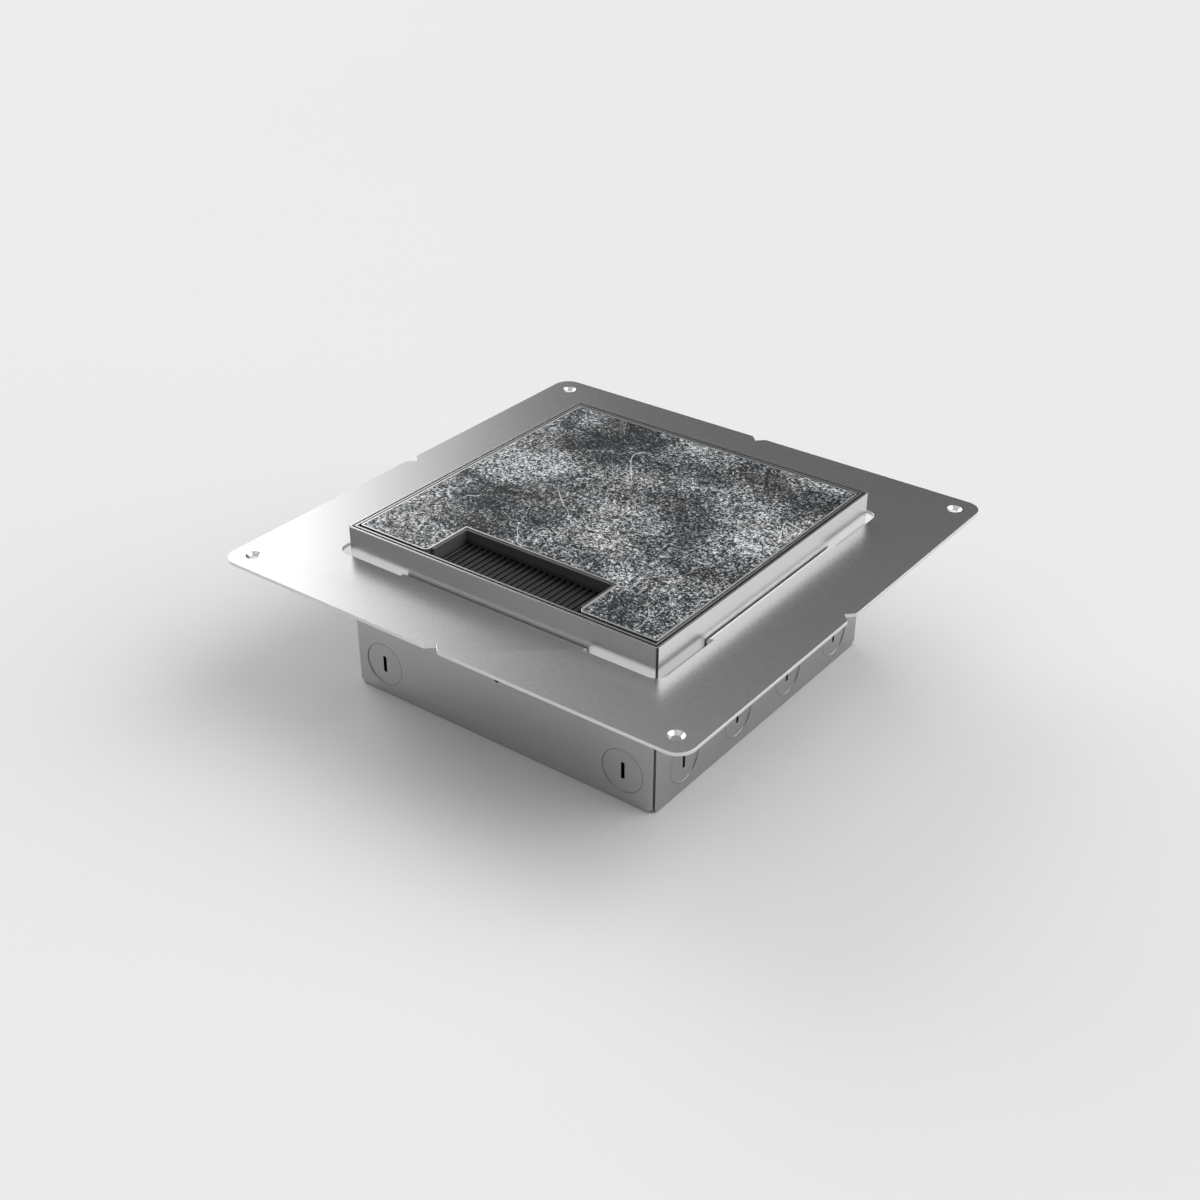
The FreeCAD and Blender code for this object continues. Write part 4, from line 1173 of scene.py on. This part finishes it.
# %% [markdown]
# ## A slotted screw head
#
# With the lid open the sockets show, each held together by a slotted screw in its middle.
# The slot is made by cutting a disc along two lines, drawing all of it up to the slot's
# floor, and drawing the two outer strips on to the head's full height. The operator keeps
# the strips' old faces, which stay unseen inside the head.

# %% Slotted head
def slotted_head(diameter, height, slot_width, slot_depth):
    """Round head along Z, from 0 to its height, with a slot across its top."""
    bm = bmesh.new()
    bmesh.ops.create_circle(bm, cap_ends=True, segments=28, radius=diameter / 2)
    for side in (-1, 1):
        bmesh.ops.bisect_plane(bm, geom=bm.verts[:] + bm.edges[:] + bm.faces[:],
                               plane_co=(0, side * slot_width / 2, 0), plane_no=(0, 1, 0))
    raised = set(drawn_up(bm, height - slot_depth))
    for face in [face for face in bm.faces if raised.issuperset(face.verts)]:
        if abs(face.calc_center_median().y) > slot_width / 2:
            grown = bmesh.ops.extrude_face_region(bm, geom=[face])["geom"]
            bmesh.ops.translate(bm, verts=verts_of(grown), vec=(0, 0, slot_depth))
    bmesh.ops.recalc_face_normals(bm, faces=bm.faces)
    return bm


print("slotted head ready")

# %% [markdown]
# ## Inside the sockets
#
# The screw sits on the floor of each socket's recess. Beside it, white shutters close the
# two contact holes from behind until a plug pushes them aside. They are plain discs.

# %% Socket screws and shutters
recess_depth = 17.5 * mm
contact_half = 9.5 * mm
shutter_radius, shutter_height, shutter_drop = 2.5 * mm, 0.5 * mm, 1.4 * mm
shutter_outline = [(0, 0), (shutter_radius, 0), (shutter_radius, shutter_height),
                   (0, shutter_height)]
device_edge = 0.1 * mm
centre_screws, shutters = [], []
for which in socket_numbers:
    low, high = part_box("power_socket_%d" % which)
    middle = (low + high) / 2
    recess_floor = high.z - recess_depth
    head = slotted_head(diameter=5.5 * mm, height=1.2 * mm, slot_width=1.0 * mm,
                        slot_depth=0.7 * mm)
    centre_screws.append(placed(head, (middle.x, middle.y, recess_floor)))
    for side in (-contact_half, contact_half):
        place = (middle.x + side, middle.y, recess_floor - shutter_drop)
        shutters.append(placed(lathe(shutter_outline, 24), place))
finished(joined(centre_screws), "socket_centre_screws", zinc_plate, "root", "zinc",
         edge=device_edge)
finished(joined(shutters), "socket_shutters", white_plastic, "root", "device_white",
         edge=device_edge)

# %% [markdown]
# ## Contacts in the data jacks
#
# A data jack has eight thin gilt wires that lean into its port. One wire is a square that
# is extruded along three straight runs, and the rest are copies at an even pitch. Each run
# draws on the face that is listed last. That is not always the tip, so a few wires have
# their last short bend at the foot.

# %% Data contacts
contacts_each = 8
contact_pitch = 1.02 * mm
contact_side = 0.35 * mm
contact_behind, contact_below = 3.6 * mm, 13.6 * mm
contact_runs = ((0, 0, 3.0 * mm), (0, -3.6 * mm, 4.2 * mm), (0, -0.5 * mm, -0.8 * mm))


def contact(place):
    """One wire that starts at a place and follows the runs."""
    bm = bmesh.new()
    bmesh.ops.create_grid(bm, x_segments=1, y_segments=1, size=contact_side / 2)
    bmesh.ops.translate(bm, verts=bm.verts, vec=place)
    for way in contact_runs:
        bm.faces.index_update()
        last = max(bm.faces, key=lambda face: face.index)
        grown = bmesh.ops.extrude_face_region(bm, geom=[last])["geom"]
        bmesh.ops.translate(bm, verts=verts_of(grown), vec=way)
    bmesh.ops.recalc_face_normals(bm, faces=bm.faces)
    return bm


contacts = []
for low, high, middle in found["data_jacks"]:
    for index in range(contacts_each):
        x = middle.x + (index - (contacts_each - 1) / 2) * contact_pitch
        contacts.append(contact((x, middle.y + contact_behind, high.z - contact_below)))
finished(joined(contacts), "data_contacts", contact_brass, "root", "contact_brass")

# %% [markdown]
# ## The solids underneath
#
# The solids of the frame stay in the file under the dressed pieces. Each gets the finish
# of its kind too, so that none would be left bare if a piece above it were taken away.

# %% Finishes of the solids
plain = {"sheet": box_steel, "frame_steel": frame_steel, "tile": veined_stone,
         "black_plastic": black_plastic, "seal_rubber": seal_rubber, "zinc": zinc_plate,
         "spring_steel": spring_wire, "carrier_steel": galvanised,
         "device_white": white_plastic, "jack_black": jack_plastic,
         "contact_brass": contact_brass}
for node, solid in frame["nodes"].items():
    solid.data.materials.clear()
    solid.data.materials.append(plain[slots[node]])
print(len(frame["nodes"]), "solids finished")

# %% [markdown]
# ## Finish
#
# The last cell imports json once more.

# %% Finish
import json
